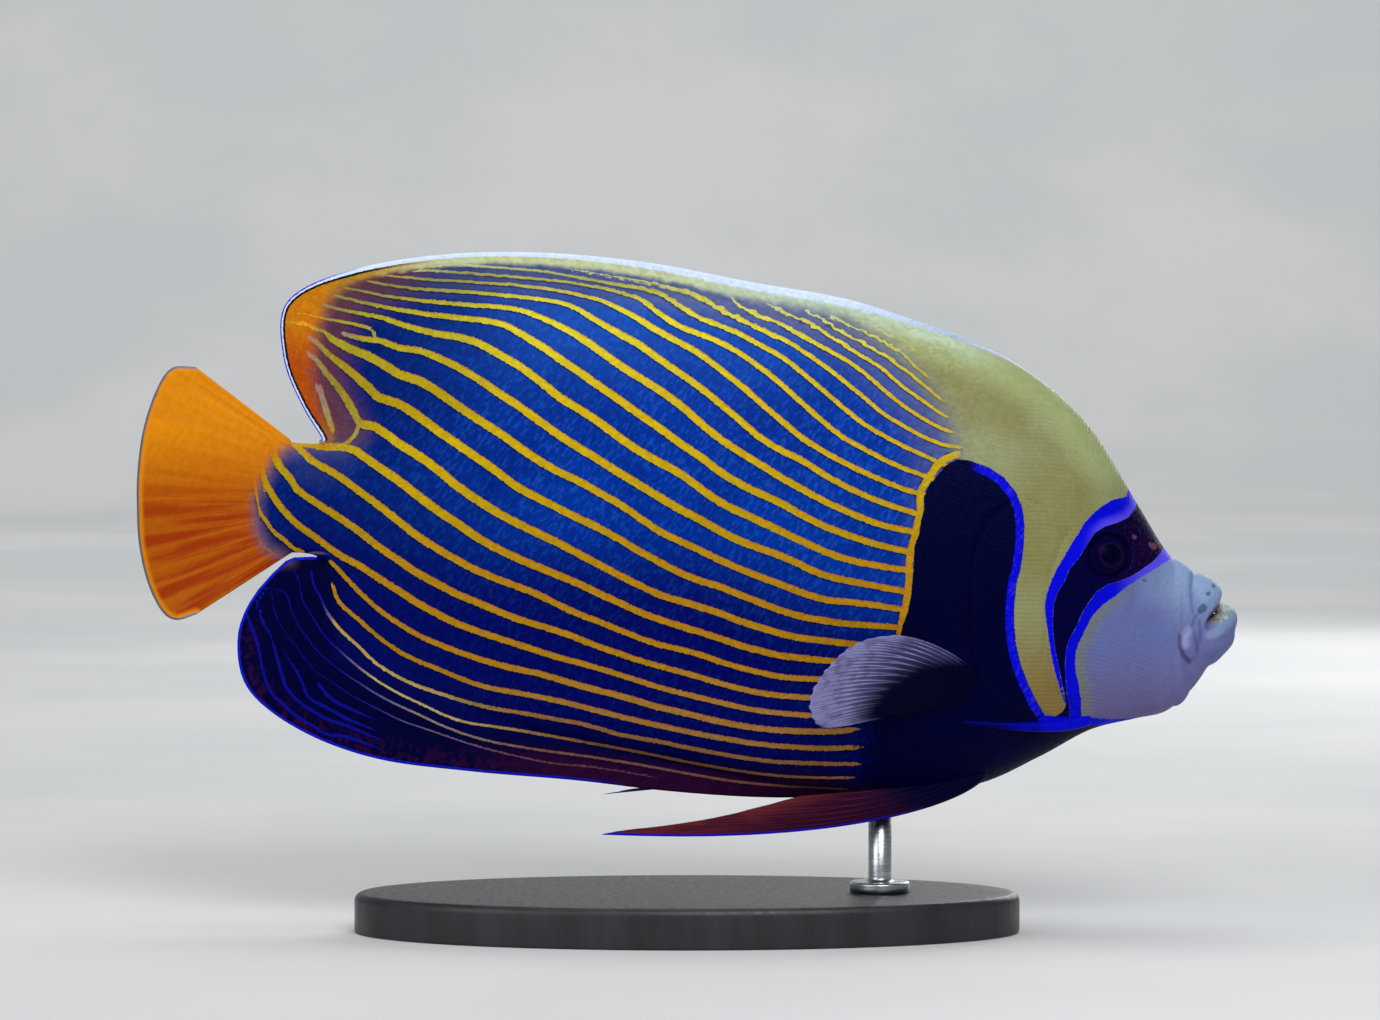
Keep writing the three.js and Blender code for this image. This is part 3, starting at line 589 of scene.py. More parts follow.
def paintMarkings(mesh):
    count = len(mesh.vertices)
    points = np.empty(count * 3)
    mesh.vertices.foreach_get("co", points)
    points = points.reshape(-1, 3) / metre
    for name, values in markings(points[:, 0], points[:, 2]).items():
        setField(mesh, name, values)


# The skin: columns of points from the lower edge to the upper edge, on both sides.

eye = {"x": 125.4, "z": 114.3, "radius": 7.3, "flat": 0.72, "proud": 1.5}
orbit = {"rim": 8.3, "rimWidth": 1.6, "rimHeight": 0.4, "sink": 2.4}
nostrils = [[133.2, 119.9, 1.1], [139.3, 116.3, 0.9]]
gillCover = [
    [110.8, 126.5], [99.9, 129.9], [89.5, 124.4], [85.0, 111.9], [84.4, 96.9], [85.5, 81.9],
    [90.0, 71.5], [99.0, 66.6], [110.0, 67.0]]
cheekEdge = [
    [113.0, 122.0], [108.5, 112.0], [106.5, 100.0], [106.8, 86.0], [109.5, 74.0], [117.0, 66.8]]


def headRelief(x, z):
    # what stands out of the smooth flank, in millimetres
    away = np.hypot(x - eye["x"], z - eye["z"])
    relief = orbit["rimHeight"] * bump(away - orbit["rim"], orbit["rimWidth"])
    relief = relief - orbit["sink"] * (1 - ramp(away, 5.4, 7.2))
    for nx, nz, radius in nostrils:
        away = np.hypot(x - nx, z - nz)
        relief = relief - 1.0 * bump(away, radius * 0.8) + 0.28 * bump(away - radius * 1.5, 0.5)
    cover = smoothRows(gillCover, 90)
    closed = lineDistance(x, z, np.vstack([cover, [[118, 72], [119, 118]]]), True)
    rear = ramp(-x, -112, -98)
    relief = relief + rear * (0.55 * ramp(closed, -0.1, 0.9) - 0.55 * bump(closed + 0.35, 0.6))
    edge = lineDistance(x, z, smoothRows(cheekEdge, 60))
    side = np.interp(z, [66, 74, 86, 100, 112, 122], [117, 109.5, 106.8, 106.5, 108.5, 113])
    relief = relief - 0.5 * bump(edge, 0.7) + 0.3 * ramp(x - side, 0, 1.5) * (1 - ramp(x - side, 4, 16))
    return relief


def tailSway(u, f):
    # the tail fin's bend to the side, u of the way down and f of the way out
    return 1.1 * np.sin(3.4 * math.pi * u + 0.6) * np.maximum(f, 0) ** 1.3


def rayRidge(count, u):
    # a rounded ridge for each ray
    wave = np.abs(((u * count) % 1) - 0.5) * 2
    return 1 - ramp(wave, 0.0, 0.62)


def spreadRows(length, mix):
    r = np.linspace(0, 1, body["rows"])
    return ((1 - mix) * r + mix * (1 - np.cos(math.pi * r)) / 2) * length


def bodyColumn(x):
    # one column of the trunk or head: x, z and half thickness of each row
    back, belly, _ = ribAt(x)
    tips, lengths = {}, {}
    for name, root in (("anal", belly), ("dorsal", back)):
        onFin = fins[name][-1][0] < x < fins[name][0][0]
        tips[name] = np.array(guideTips(name, x) if onFin else (x, root))
        lengths[name] = np.linalg.norm(tips[name] - [x, root]) if onFin else 0.0
    finLow, finHigh = lengths["anal"], lengths["dorsal"]
    bare = finLow + finHigh == 0
    total = finLow + (back - belly) + finHigh
    s = spreadRows(total, 0.88 - 0.38 * min(1, (finLow + finHigh) / 16))
    marks = [0, finLow, finLow + back - belly, total]
    stops = np.array([tips["anal"], [x, belly], [x, back], tips["dorsal"]])
    px = np.full(len(s), x) if bare else np.interp(s, marks, stops[:, 0])
    pz = belly + s if bare else np.interp(s, marks, stops[:, 1])
    half = np.where((s > marks[1]) & (s < marks[2]), bodyHalf(np.full(len(s), x), pz), 0)
    if not bare:
        onLow = s < total / 2
        beyond = np.clip(finLow - s, 0, None) + np.clip(s - marks[2], 0, None)
        finLength = np.where(onLow, finLow, finHigh)
        dorsalRidge = rayRidge(fins["dorsalRays"], np.interp(-x, [-80, 107], [0, 1]))
        analRidge = rayRidge(fins["analRays"], np.interp(-x, [-50, 106], [0, 1]))
        ridge = np.where(onLow, analRidge, dorsalRidge)
        outer = np.clip(beyond / np.maximum(finLength, 0.1), 0, 1)
        fin = fins["edgeHalf"] + fins["baseSwell"] * np.exp(-beyond / fins["baseReach"]) * (1 - outer ** 2)
        rise = fins["rayHeight"] * ridge * ramp(outer, 0.0, 0.3) * (1 - 0.6 * outer)
        fin = fin * ramp(finLength, 0, 3) + rise
        inside = ramp(np.minimum(s - finLow, marks[2] - s), 0, 14)
        half = np.sqrt(half ** 2 + (fin * (1 - inside)) ** 2)
        half = half * roundOff(np.minimum(s, total - s), 0.55)
    half[0] = half[-1] = 0
    return px, pz, half


def muzzleDistance(x, y, z):
    # rough distance to the snout with its lips, chin and mouth; negative inside
    back, belly, half = ribAt(x)
    middle, reach = (back + belly) / 2, (back - belly) / 2
    p = np.where(z > middle, body["backSharpness"], body["bellySharpness"])
    crown = np.clip((x - 156) / 4, 0, None)
    roundness = ((z - middle) / reach) ** 2 + (np.abs(y) / half) ** (2 / p) + crown ** 2
    surface = (np.sqrt(roundness) - 1) * np.minimum(half, reach)
    surface = blendMin(surface, ball(x, y, z, muzzle["snout"]), 1.5)
    surface = -blendMin(-surface, ball(x, y, z, muzzle["hollow"]), 0.5)
    upper, beak, lower, under = [
        lipDistance(x, y, z, muzzle[name]) for name in ("upperLip", "beak", "lowerLip", "underLip")]
    lower = blendMin(blendMin(lower, under, 1.6), ball(x, y, z, muzzle["chin"]), 1.8)
    surface = blendMin(surface, lower, 1.2)
    surface = blendMin(surface, ball(x, np.abs(y) - 9.2, z, muzzle["pad"]), 0.5)
    surface = blendMin(surface, blendMin(upper, beak, 2.4), 0.5)
    # the open mouth is cut out at both corners and closed behind by the tongue
    surface = -blendMin(-surface, cornerDistance(x, y, z), 0.5)
    surface = blendMin(surface, ball(x, y, z, muzzle["tongue"]), 0.4)
    return -blendMin(-surface, lipDistance(x, y, z, muzzle["slit"]), 0.35)


def cornerDistance(x, y, z):
    # a leaning hollow at each corner of the mouth
    cx, cz, long, wide, tall = muzzle["corner"]
    lean = math.radians(38)
    across = (x - cx) * math.cos(lean) - (z - cz) * math.sin(lean)
    along = (x - cx) * math.sin(lean) + (z - cz) * math.cos(lean)
    away = np.abs(y) - 7.2
    return (np.sqrt((across / long) ** 2 + (away / wide) ** 2 + (along / tall) ** 2) - 1) * min(long, wide)


def blendMin(a, b, soft):
    h = np.clip(0.5 + 0.5 * (b - a) / soft, 0, 1)
    return b * (1 - h) + a * h - soft * h * (1 - h)


def ball(x, y, z, shape):
    cx, cz, long, wide, tall = shape
    scaled = np.sqrt(((x - cx) / long) ** 2 + (y / wide) ** 2 + ((z - cz) / tall) ** 2)
    return (scaled - 1) * min(long, wide, tall)


def lipCentres(lip, count=33):
    t = np.linspace(0, 1, count)
    bulge = np.cos(t * math.pi / 2) ** 0.8
    corner, front = np.array(lip["corner"]), np.array(lip["front"])
    x = corner[0] + (front[0] - corner[0]) * bulge
    rise = np.cos(t * math.pi / 2) ** lip.get("late", 0.8)
    z = corner[1] + (front[1] - corner[1]) * rise
    y = lip["halfWidth"] * np.sin(t * math.pi / 2)
    return np.stack([x, y, z, lip["thin"] + (lip["thick"] - lip["thin"]) * rise], 1)


def lipDistance(x, y, z, lip):
    best = np.full(x.shape, 99.0)
    centres = lipCentres(lip, 25)
    side = np.abs(y)
    for a, b in zip(centres[:-1], centres[1:]):
        way = b[:3] - a[:3]
        t = ((x - a[0]) * way[0] + (side - a[1]) * way[1] + (z - a[2]) * way[2]) / (way @ way)
        t = np.clip(t, 0, 1)
        dx, dy, dz = x - a[0] - t * way[0], side - a[1] - t * way[1], z - a[2] - t * way[2]
        best = np.minimum(best, np.sqrt(dx * dx + dy * dy + dz * dz) - a[3] - t * (b[3] - a[3]))
    return best


muzzle = {
    "centre": [148.0, 90.5],
    "aim": [0.82, 0.572],  # the way the mouth opens
    "upperLip": {"corner": [154.2, 93.0], "front": [153.7, 103.3], "halfWidth": 7.0, "thin": 1.3,
                 "thick": 4.5},
    "beak": {"corner": [154.8, 93.0], "front": [157.3, 101.9], "halfWidth": 6.6, "thin": 1.0, "thick": 3.2},
    "lowerLip": {"corner": [155.6, 88.6], "front": [160.3, 94.1], "halfWidth": 6.4, "thin": 2.2, "thick": 4.9,
                 "late": 1.1},
    "underLip": {"corner": [154.6, 86.4], "front": [159.0, 89.3], "halfWidth": 5.6, "thin": 3.0, "thick": 5.4,
                 "late": 1.1},
    "slit": {"corner": [155.6, 91.8], "front": [157.8, 98.2], "halfWidth": 7.6, "thin": 0.3, "thick": 0.5},
    "tongue": [156.4, 96.4, 3.4, 4.8, 3.2],
    "corner": [157.9, 95.3, 1.9, 3.6, 4.3],
    "snout": [147.0, 101.8, 6.5, 8.6, 9.5],
    "chin": [154.2, 86.4, 7.4, 7.2, 6.6],
    "pad": [149.5, 87.0, 3.2, 2.4, 4.9],
    "hollow": [157.0, 96.5, 4.5, 7.2, 3.6],
}
# Folds round the mouth in chart squares: line, depth and width in millimetres.
folds = [
    # the first fold also gets a dark painted shade, the next four a lighter painted shade
    {"line": [[1177, 634], [1177.5, 645], [1180.5, 653], [1187, 660.5]], "depth": 0.6, "width": 0.8},
    {"line": [[1190.5, 626], [1193, 636], [1195.5, 648]], "depth": 0.4, "width": 0.6},
    {"line": [[1197, 619], [1199, 630], [1198.5, 642]], "depth": 0.35, "width": 0.6},
    {"line": [[1190.5, 573], [1189, 585], [1189.5, 598], [1191, 610]], "depth": 0.3, "width": 0.8},
    {"line": [[1199, 610], [1193, 616], [1190, 625]], "depth": 0.45, "width": 0.6},
    {"line": [[1204, 634], [1213, 640], [1223, 638], [1233, 630]], "depth": 0.16, "width": 0.8},
]


def muzzleRings(baseX, baseZ, baseY):
    # rings from the cheek over the lips to the closed mouth, each a half ring on one side
    centre = np.array([muzzle["centre"][0], 0, muzzle["centre"][1]])
    start = np.stack([baseX, baseY, baseZ], 1) - centre
    startReach = np.linalg.norm(start, axis=1, keepdims=True)
    start = start / startReach
    aim = np.array([muzzle["aim"][0], 0, muzzle["aim"][1]])
    aim = aim / np.linalg.norm(aim)
    angle = np.arccos(np.clip(start @ aim, -1, 1))[:, None]
    rings = []
    for k in range(1, body["muzzleRings"] + 1):
        t = k / body["muzzleRings"]
        way = (np.sin((1 - t) * angle) * start + np.sin(t * angle) * aim) / np.sin(angle)
        reach = np.linspace(26, 3, 70)[:, None]
        probe = centre + way[None] * reach[..., None]
        inside = muzzleDistance(probe[..., 0], probe[..., 1], probe[..., 2]) < 0
        first = inside.argmax(0)
        first[~inside.any(0)] = 69
        high = reach[np.maximum(first - 1, 0), 0]
        low = reach[first, 0]
        for _ in range(12):
            middle = (high + low) / 2
            probe = centre + way * middle[:, None]
            hit = muzzleDistance(probe[:, 0], probe[:, 1], probe[:, 2]) < 0
            low, high = np.where(hit, middle, low), np.where(hit, high, middle)
        share = min(1, k / 5)
        found = low * share + startReach[:, 0] * (1 - share)
        place = centre + way * found[:, None]
        sideways = ramp(np.abs(place[:, 1]), 1.0, 4.0)
        for fold in folds:
            away = lineDistance(chartX(place[:, 0]), chartY(place[:, 2]), fold["line"]) * chart["square"]
            found = found - fold["depth"] * bump(away, fold["width"]) * sideways * share
        rings.append(centre + way * found[:, None])
    return rings


def tailColumn(f, guides):
    # one column of the tail fin, f of the way from the stalk to the rear edge
    rows = spreadRows(1, 0.35)
    u = np.linspace(0, 1, len(guides))
    cross = np.array([np.interp(rows, u, guides[:, q]) for q in range(4)]).T
    x = cross[:, 0] + (cross[:, 2] - cross[:, 0]) * f
    z = cross[:, 1] + (cross[:, 3] - cross[:, 1]) * f
    stalkHalf = np.interp(body["stalkEnd"], ribTable[:, 0], ribTable[:, 3])
    base = stalkHalf * np.sqrt(np.clip(1 - (2 * rows - 1) ** 2, 0, 1)) ** 1.1
    away = np.hypot(x - cross[:, 0], z - cross[:, 1])
    half = base * np.exp(-((away / 9) ** 1.5))
    ridge = rayRidge(fins["tailRays"], rows) * ramp(f, 0.02, 0.2) * (1 - 0.65 * f)
    thin = fins["edgeHalf"] + 0.45 * np.exp(-away / 10) + 1.15 * fins["rayHeight"] * ridge
    half = np.sqrt(half ** 2 + (thin * ramp(f, 0, 0.06)) ** 2)
    girth = np.concatenate([[0], np.cumsum(np.hypot(np.diff(x), np.diff(z)))])
    edge = np.minimum(np.minimum(girth, girth[-1] - girth), (1 - f) * 43)
    half = half * (roundOff(edge, 0.55) * ramp(f, 0, 0.1) + 1 - ramp(f, 0, 0.1))
    half[0] = half[-1] = 0
    return x, z, half, tailSway(1 - rows, f)


def skinGrid():
    # x, z, half thickness and sway of every column from the tail's rear edge to the mouth
    guides = smoothRows(fins["tail"], 900)[::-1]
    count = body["tailColumns"]
    columns = [tailColumn(1 - (k / count) ** 0.93, guides) for k in range(count)]
    trunkCount = body["stalkColumns"] + body["trunkColumns"]
    trunkX = np.concatenate([
        np.linspace(body["stalkEnd"], body["headStart"], trunkCount + 1)[:-1],
        np.linspace(body["headStart"], body["muzzleStart"], body["headColumns"] + 1)])
    for x in trunkX:
        px, pz, half = bodyColumn(x)
        if x > 78:
            half = half + headRelief(px, pz) * ramp(half, 0.5, 4.0)
        columns.append((px, pz, half, np.zeros(len(px))))
    return columns


def buildSkin():
    columns = skinGrid()
    rows = body["rows"]
    right = np.array([np.stack([x, sway - half, z], 1) for x, z, half, sway in columns])
    left = np.array([np.stack([x, sway + half, z], 1) for x, z, half, sway in columns])
    rings = np.array(muzzleRings(right[-1][:, 0], right[-1][:, 2], np.abs(right[-1][:, 1])))
    rings[:, 0, 1] = rings[:, -1, 1] = 0
    rings[-1] = rings[-1].mean(0)
    rings[-1, :, 1] = 0
    right = np.concatenate([right, rings * np.array([1, -1, 1])])
    left = np.concatenate([left, rings])
    count = len(right)
    # the two sides share their upper and lower edges, so a ring is right side up and left side down
    ring = np.concatenate([right, left[:, -2:0:-1]], 1)
    around = ring.shape[1]
    points = ring.reshape(-1, 3)
    # the tail's rear edge and the mouth's last ring are closed by joining the two sides
    index = np.arange(len(points))
    for j in range(1, rows - 1):
        index[around - j] = j
    index[(count - 1) * around:] = (count - 1) * around
    faces = index[gridFaces(count, around, True)]
    distinct = np.array([len(set(face)) for face in faces])
    quads = [list(face) for face in faces[distinct == 4]]
    triangles = [list(dict.fromkeys(face)) for face in faces[distinct == 3]]
    return meshFromMixed("skin", points, quads + triangles), right, left


def meshFromMixed(name, points, faces):
    # a mesh of faces with three or four corners, without the points that no face uses
    used = np.unique(np.concatenate(faces).astype(int))
    number = np.full(len(points), -1)
    number[used] = np.arange(len(used))
    mesh = bpy.data.meshes.new(name)
    mesh.from_pydata([tuple(p) for p in points[used] * metre], [], [tuple(number[face]) for face in faces])
    mesh.update()
    shadeSmooth(mesh)
    return newObject(name, mesh)


# Materials.

def tint(red, green, blue):
    # a colour given in screen values, as the shader wants it
    linear = [c / 255 / 12.92 if c <= 10 else ((c / 255 + 0.055) / 1.055) ** 2.4 for c in (red, green, blue)]
    return (*linear, 1)


class Wire:
    # a node's output that is added, subtracted and multiplied like a number

    def __init__(self, nodes, socket):
        self.nodes = nodes
        self.socket = socket

    def __add__(self, other):
        return self.nodes.math("ADD", self, other)

    def __radd__(self, other):
        return self.nodes.math("ADD", other, self)

    def __sub__(self, other):
        return self.nodes.math("SUBTRACT", self, other)

    def __rsub__(self, other):
        return self.nodes.math("SUBTRACT", other, self)

    def __mul__(self, other):
        return self.nodes.math("MULTIPLY", self, other)


class Nodes:
    # short words for building a material's nodes

    def __init__(self, name):
        self.material = bpy.data.materials.new(name)
        self.material.use_nodes = True
        self.tree = self.material.node_tree
        self.tree.nodes.clear()
        output, self.shader = self.make("OutputMaterial"), self.make("BsdfPrincipled")
        self.tree.links.new(self.shader.outputs[0], output.inputs[0])
        self.place = Wire(self, self.make("TexCoord").outputs["Object"])

    def make(self, kind, **settings):
        node = self.tree.nodes.new("ShaderNode" + kind)
        for name, value in settings.items():
            setattr(node, name, value)
        return node

    def put(self, socket, value):
        if isinstance(value, Wire):
            self.tree.links.new(value.socket, socket)
        else:
            socket.default_value = value

    def feed(self, node, inputs, output=0):
        for socket, value in inputs.items():
            self.put(node.inputs[socket], value)
        return Wire(self, node.outputs[output])

    def field(self, name):
        return self.feed(self.make("Attribute", attribute_name=name), {}, "Fac")

    def math(self, operation, a, b=0.0):
        return self.feed(self.make("Math", operation=operation), {0: a, 1: b})

    def span(self, value, low, high, start=0.0, end=1.0, smooth=True):
        node = self.make("MapRange", interpolation_type="SMOOTHSTEP" if smooth else "LINEAR")
        sockets = "Value", "From Min", "From Max", "To Min", "To Max"
        return self.feed(node, dict(zip(sockets, (value, low, high, start, end))))

    def mix(self, share, a, b, blend="MIX"):
        node = self.make("Mix", data_type="RGBA", blend_type=blend, clamp_factor=True)
        return self.feed(node, {0: share, 6: a, 7: b}, 2)

    def noise(self, scale, detail=2.0, stretch=None, turn=0.0, vector=None):
        if stretch is not None:
            node = self.make("Mapping", vector_type="TEXTURE")
            vector = self.feed(node, {"Scale": stretch, "Rotation": (0, turn, 0), "Vector": self.place})
        inputs = {"Vector": vector or self.place, "Scale": scale, "Detail": detail}
        return self.feed(self.make("TexNoise"), inputs, "Fac")

    def axis(self, letter):
        return self.feed(self.make("SeparateXYZ"), {0: self.place}, letter)

    def vector(self, x, y, z=0.0):
        return self.feed(self.make("CombineXYZ"), {0: x, 1: y, 2: z})

    def bump(self, height, distance, strength):
        return self.feed(self.make("Bump"), {"Strength": strength, "Distance": distance, "Height": height})

    def finish(self, color, roughness, normal=None, **values):
        self.put(self.shader.inputs["Base Color"], color)
        self.put(self.shader.inputs["Roughness"], roughness)
        if normal is not None:
            self.put(self.shader.inputs["Normal"], normal)
        for name, value in values.items():
            self.shader.inputs[name.replace("_", " ")].default_value = value
        return self.material


coolGloss = (0.22, 0.3, 1.0, 1)
fishTints = {
    "flank": tint(1, 47, 146), "flankHigh": tint(28, 76, 168), "flankLow": tint(1, 5, 88),
    # the last tint on the next line is a painted sheen: paler blue flecks
    "flankRear": tint(1, 24, 96), "rearTop": tint(76, 82, 116), "stroke": tint(30, 88, 190),
    "slate": tint(92, 98, 132), "mauve": tint(104, 82, 106), "olive": tint(130, 128, 78),
    "oliveLight": tint(142, 146, 104), "oliveLow": tint(132, 112, 62), "stripe": tint(198, 168, 1),
    "stripeMid": tint(176, 142, 4), "shade": tint(60, 48, 10), "stripeTip": tint(146, 122, 112),
    "coolBrown": tint(92, 54, 62), "stripeHigh": tint(212, 200, 46), "stripeGrey": tint(168, 164, 78),
    "stripeTop": tint(190, 192, 98), "stripeOrange": tint(222, 148, 18), "stripeBrown": tint(146, 102, 66),
    "oliveTop": tint(158, 170, 116), "whiteBlue": tint(166, 186, 214), "stripeLow": tint(168, 122, 12),
    "stripeBelly": tint(160, 116, 56), "stripePale": tint(176, 158, 98), "fringe": tint(158, 78, 34),
    "coolPale": tint(98, 86, 122), "coolBlue": tint(10, 12, 132), "orange": tint(192, 116, 4),
    "orangeDeep": tint(170, 74, 2), "tailYellow": tint(218, 134, 0), "tailDeep": tint(150, 52, 0),
    "plum": tint(90, 50, 60), "topCream": tint(192, 200, 150), "topPale": tint(182, 198, 172),
    "topGold": tint(176, 132, 20), "patch": tint(1, 1, 38), "breast": tint(1, 1, 42),
    "line": tint(6, 8, 205), "band": tint(8, 8, 212), "bandPale": tint(84, 72, 226), "mask": tint(2, 0, 48),
    "maskBrown": tint(58, 18, 40), "snout": tint(96, 110, 164), "snoutWhite": tint(128, 150, 186),
    "snoutMauve": tint(106, 98, 146), "snoutOlive": tint(112, 116, 112), "spot": tint(48, 70, 112),
    # the first three tints here are painted light: shade in the creases round the mouth, a darker shade in
    # the deepest fold, and a highlight on the lip pad
    "creaseShade": tint(70, 78, 128), "fold": tint(62, 32, 76), "pad": tint(168, 176, 218),
    "liningPale": tint(176, 190, 178), "liningWarm": tint(116, 88, 62), "pore": tint(132, 72, 92),
    # the last tint on the next line is painted shade in the mouth's open gap
    "belly": tint(44, 8, 40), "lining": tint(126, 144, 150), "gap": tint(22, 14, 26),
    "roll": tint(126, 150, 184), "white": tint(206, 222, 250), "anal": tint(1, 1, 44),
    "analMaroon": tint(50, 8, 46), "analEdge": tint(14, 24, 190), "tailEdge": tint(130, 120, 130),
    "black": tint(2, 2, 14),
}


def fishMaterial(name, onScales):
    n, c = Nodes(name), fishTints
    span, field, mix, noise = n.span, n.field, n.mix, n.noise
    x, z = n.axis("X"), n.axis("Z")
    fine = noise(900, 2)
    jag = (noise(1150, 1) - 0.5) * 1.3
    hatch = noise(1000, 2, (1.0, 1.6, 2.4), 0.6)
    cloud = noise(38, 3)
    # ground colour, from the belly up; the darker blue starts lower towards the head
    high = z + span(x, 0.0, 0.1, 0.0, 0.035, False)
    high = high - span(x, -0.05, -0.11, 0.0, 0.014)
    ground = mix(span(high, 0.085, 0.135), c["flankLow"], c["flank"])
    ground = mix(span(z, 0.15, 0.195), ground, c["flankHigh"])
    ground = mix(span(x, -0.03, -0.1) * 0.85, ground, c["flankRear"])
    ground = mix(span(high, 0.124, 0.088, 0.0, 0.9), ground, c["flankLow"])
    # painted sheen: paler blue flecks along the hatch, stronger higher up
    lit = span(hatch, 0.46, 0.68) * span(high, 0.085, 0.15, 0.06, 0.5)
    ground = mix(lit * span(x, -0.1, -0.03, 0.4, 1.0), ground, c["stroke"])
    ground = mix(span(cloud, 0.4, 0.75) * 0.3, ground, c["flankLow"])
    ground = mix(span(field("nape"), -22, -3, 0, 0.7), ground, c["slate"])
    nearTop = span(field("dorsalEdge"), 17, 7) * span(z, 0.14, 0.15, 0.2, 1.0)
    ground = mix(nearTop * span(x, 0.0, -0.05, 0.0, 0.85), ground, c["rearTop"])
    ground = mix(nearTop * span(x, -0.05, 0.0, 0.0, 0.85), ground, c["slate"])
    shady = span(x, -0.045, -0.085, 0.0, 0.55) * span(z, 0.145, 0.165)
    ground = mix(shady, ground, c["flankRear"])
    # dark anal fin
    past = span(field("phase"), 24.2, 27.6)
    tip = span(field("phase"), 22.5, 23.1) * span(x, -0.099, -0.11)
    analShare = n.math("MAXIMUM", past, tip) * span(z, 0.121, 0.112)
    mottle = span(noise(560, 4), 0.46, 0.6) * span(field("analEdge"), 9, 1, 0.0, 0.6)
    mottle = mottle * span(z, 0.1, 0.085)
    ground = mix(analShare, ground, mix(mottle, c["anal"], c["analMaroon"]))
    low = span(field("analEdge"), 12, 4) * span(x, -0.075, -0.03)
    ground = mix(low * span(x, 0.055, 0.03) * 0.75, ground, c["belly"])
    # mauve tail base
    stalk = span(field("tailward"), -6.8, -1.0) * span(z, 0.108, 0.113)
    ground = mix(stalk * 0.9, ground, c["mauve"])
    # the fin's rear lobe, plum then orange, and the cream strip under the margin
    lobe = span(z, 0.1445, 0.15)
    ground = mix(span(field("orange"), -15, -2, 0, 0.9) * lobe, ground, c["plum"])
    orange = mix(span(z + noise(70, 3) * 0.02, 0.178, 0.2), c["orangeDeep"], c["orange"])
    orange = mix(span(x, -0.112, -0.098), orange, c["topGold"])
    ground = mix(span(field("orange"), -2, 4.5) * lobe, ground, orange)
    cream = mix(span(x, -0.1, -0.07), c["topGold"], c["topCream"])
    cream = mix(span(x, -0.02, 0.04), cream, c["topPale"])
    edgeOut = field("dorsalEdge") - span(x, -0.06, 0.03, 0.0, 1.6)
    streaky = edgeOut + (noise(260, 2) - 0.5) * span(x, 0.0, 0.04, 2.2, 3.6)
    strip = span(streaky, span(x, 0.0, 0.04, 4.4, 6.0), span(x, 0.0, 0.04, 2.6, 0.6))
    strip = strip * span(x, -0.112, -0.095) * span(x, 0.075, 0.1, 0.95, 0.0)
    ground = mix(strip, ground, cream)
    # olive nape and bar
    olive = mix(span(cloud, 0.35, 0.7), c["olive"], c["oliveLight"])
    olive = mix(span(z, 0.105, 0.07), olive, c["oliveLow"])
    olive = mix(span(field("dorsalEdge"), 14, 4, 0.0, 0.85), olive, c["oliveTop"])
    olive = mix(strip, olive, cream)
    jagBar = field("bar") + jag * 0.5
    onBar = span(jagBar, -0.15, 0.15) * span(field("nape"), -7, 6)
    ground = mix(onBar, ground, olive)
    # stripes, with a warm fringe above and a dark line below
    side = field("phase") - n.math("ROUND", field("phase"))
    # stripes run wavy near the dorsal fin's edge
    wave = (noise(420, 1) - 0.5) * span(field("dorsalEdge"), 20, 7, 0.0, 2.4)
    wave = wave * span(x, -0.03, 0.02, 0.25, 1.0)
    away = side * field("spacing") + wave
    rough = jag * span(field("half"), 0.15, 0.7, 0.15, 0.55)
    away = n.math("ABSOLUTE", away) + rough
    inside = field("half") - away
    inside = n.math("MAXIMUM", inside, jag * 0.5 - field("stroke"))
    gold = mix(span(z, 0.118, 0.16), c["stripeMid"], c["stripe"])
    gold = mix(span(z, 0.155, 0.19), gold, c["stripeHigh"])
    greyed = span(field("dorsalEdge"), 16, 8) * span(z, 0.144, 0.152)
    gold = mix(greyed * span(x, 0.03, -0.03), gold, c["stripeGrey"])
    gold = mix(span(edgeOut, 15, 4, 0.0, 0.9) * span(x, -0.02, 0.04), gold, c["stripeTop"])
    gold = mix(span(z, 0.13, 0.103), gold, c["stripeLow"])
    gold = mix(span(x, -0.045, -0.075, 0.0, 0.34) * span(z, 0.145, 0.16), gold, c["shade"])
    gold = mix(span(x, -0.08, -0.105, 0.0, 0.2) * span(z, 0.112, 0.122), gold, c["shade"])
    gold = mix(span(z, 0.085, 0.062), gold, c["stripeBelly"])
    palest = mix(span(x, -0.08, -0.04), c["stripePale"], c["stripeBrown"])
    gold = mix(span(field("phase"), 24.5, 25.3), gold, palest)
    gold = mix(span(field("orange"), 0, 4) * lobe, gold, c["stripeOrange"])
    tipShare = field("tip") * (lobe * span(z, 0.192, 0.186))
    gold = mix(tipShare * span(x, -0.085, -0.095), gold, c["stripeTip"])
    gold = mix(span(edgeOut, 6.5, 3.0, 0.0, 0.8), gold, cream)
    above = n.math("LESS_THAN", side, 0.0)
    cool = field("cool")
    warm = span(inside, 0.5, 0.1) * (above * span(cool, 0.4, 0.1))
    warm = warm * span(field("half"), 0.35, 0.9, 0.0, 0.6)
    gold = mix(warm, gold, c["fringe"])
    gold = mix(span(cool, 0.0, 0.5), gold, mix(span(x, -0.09, -0.04), c["coolPale"], c["coolBrown"]))
    gold = mix(span(cool, 0.45, 1.0), gold, c["coolBlue"])
    shadow = span(inside, -0.75, -0.1) * span(above, 1.0, 0.0, 0.15, 0.65)
    shadow = shadow * span(field("orange"), -2, -8)
    shadow = shadow * span(edgeOut, 5.0, 9.0)
    shadow = shadow * span(field("half"), 0.1, 0.4)
    ground = mix(shadow * span(cool, 0.5, 0.1), ground, c["black"])
    color = mix(span(inside, -0.09, 0.09), ground, gold)
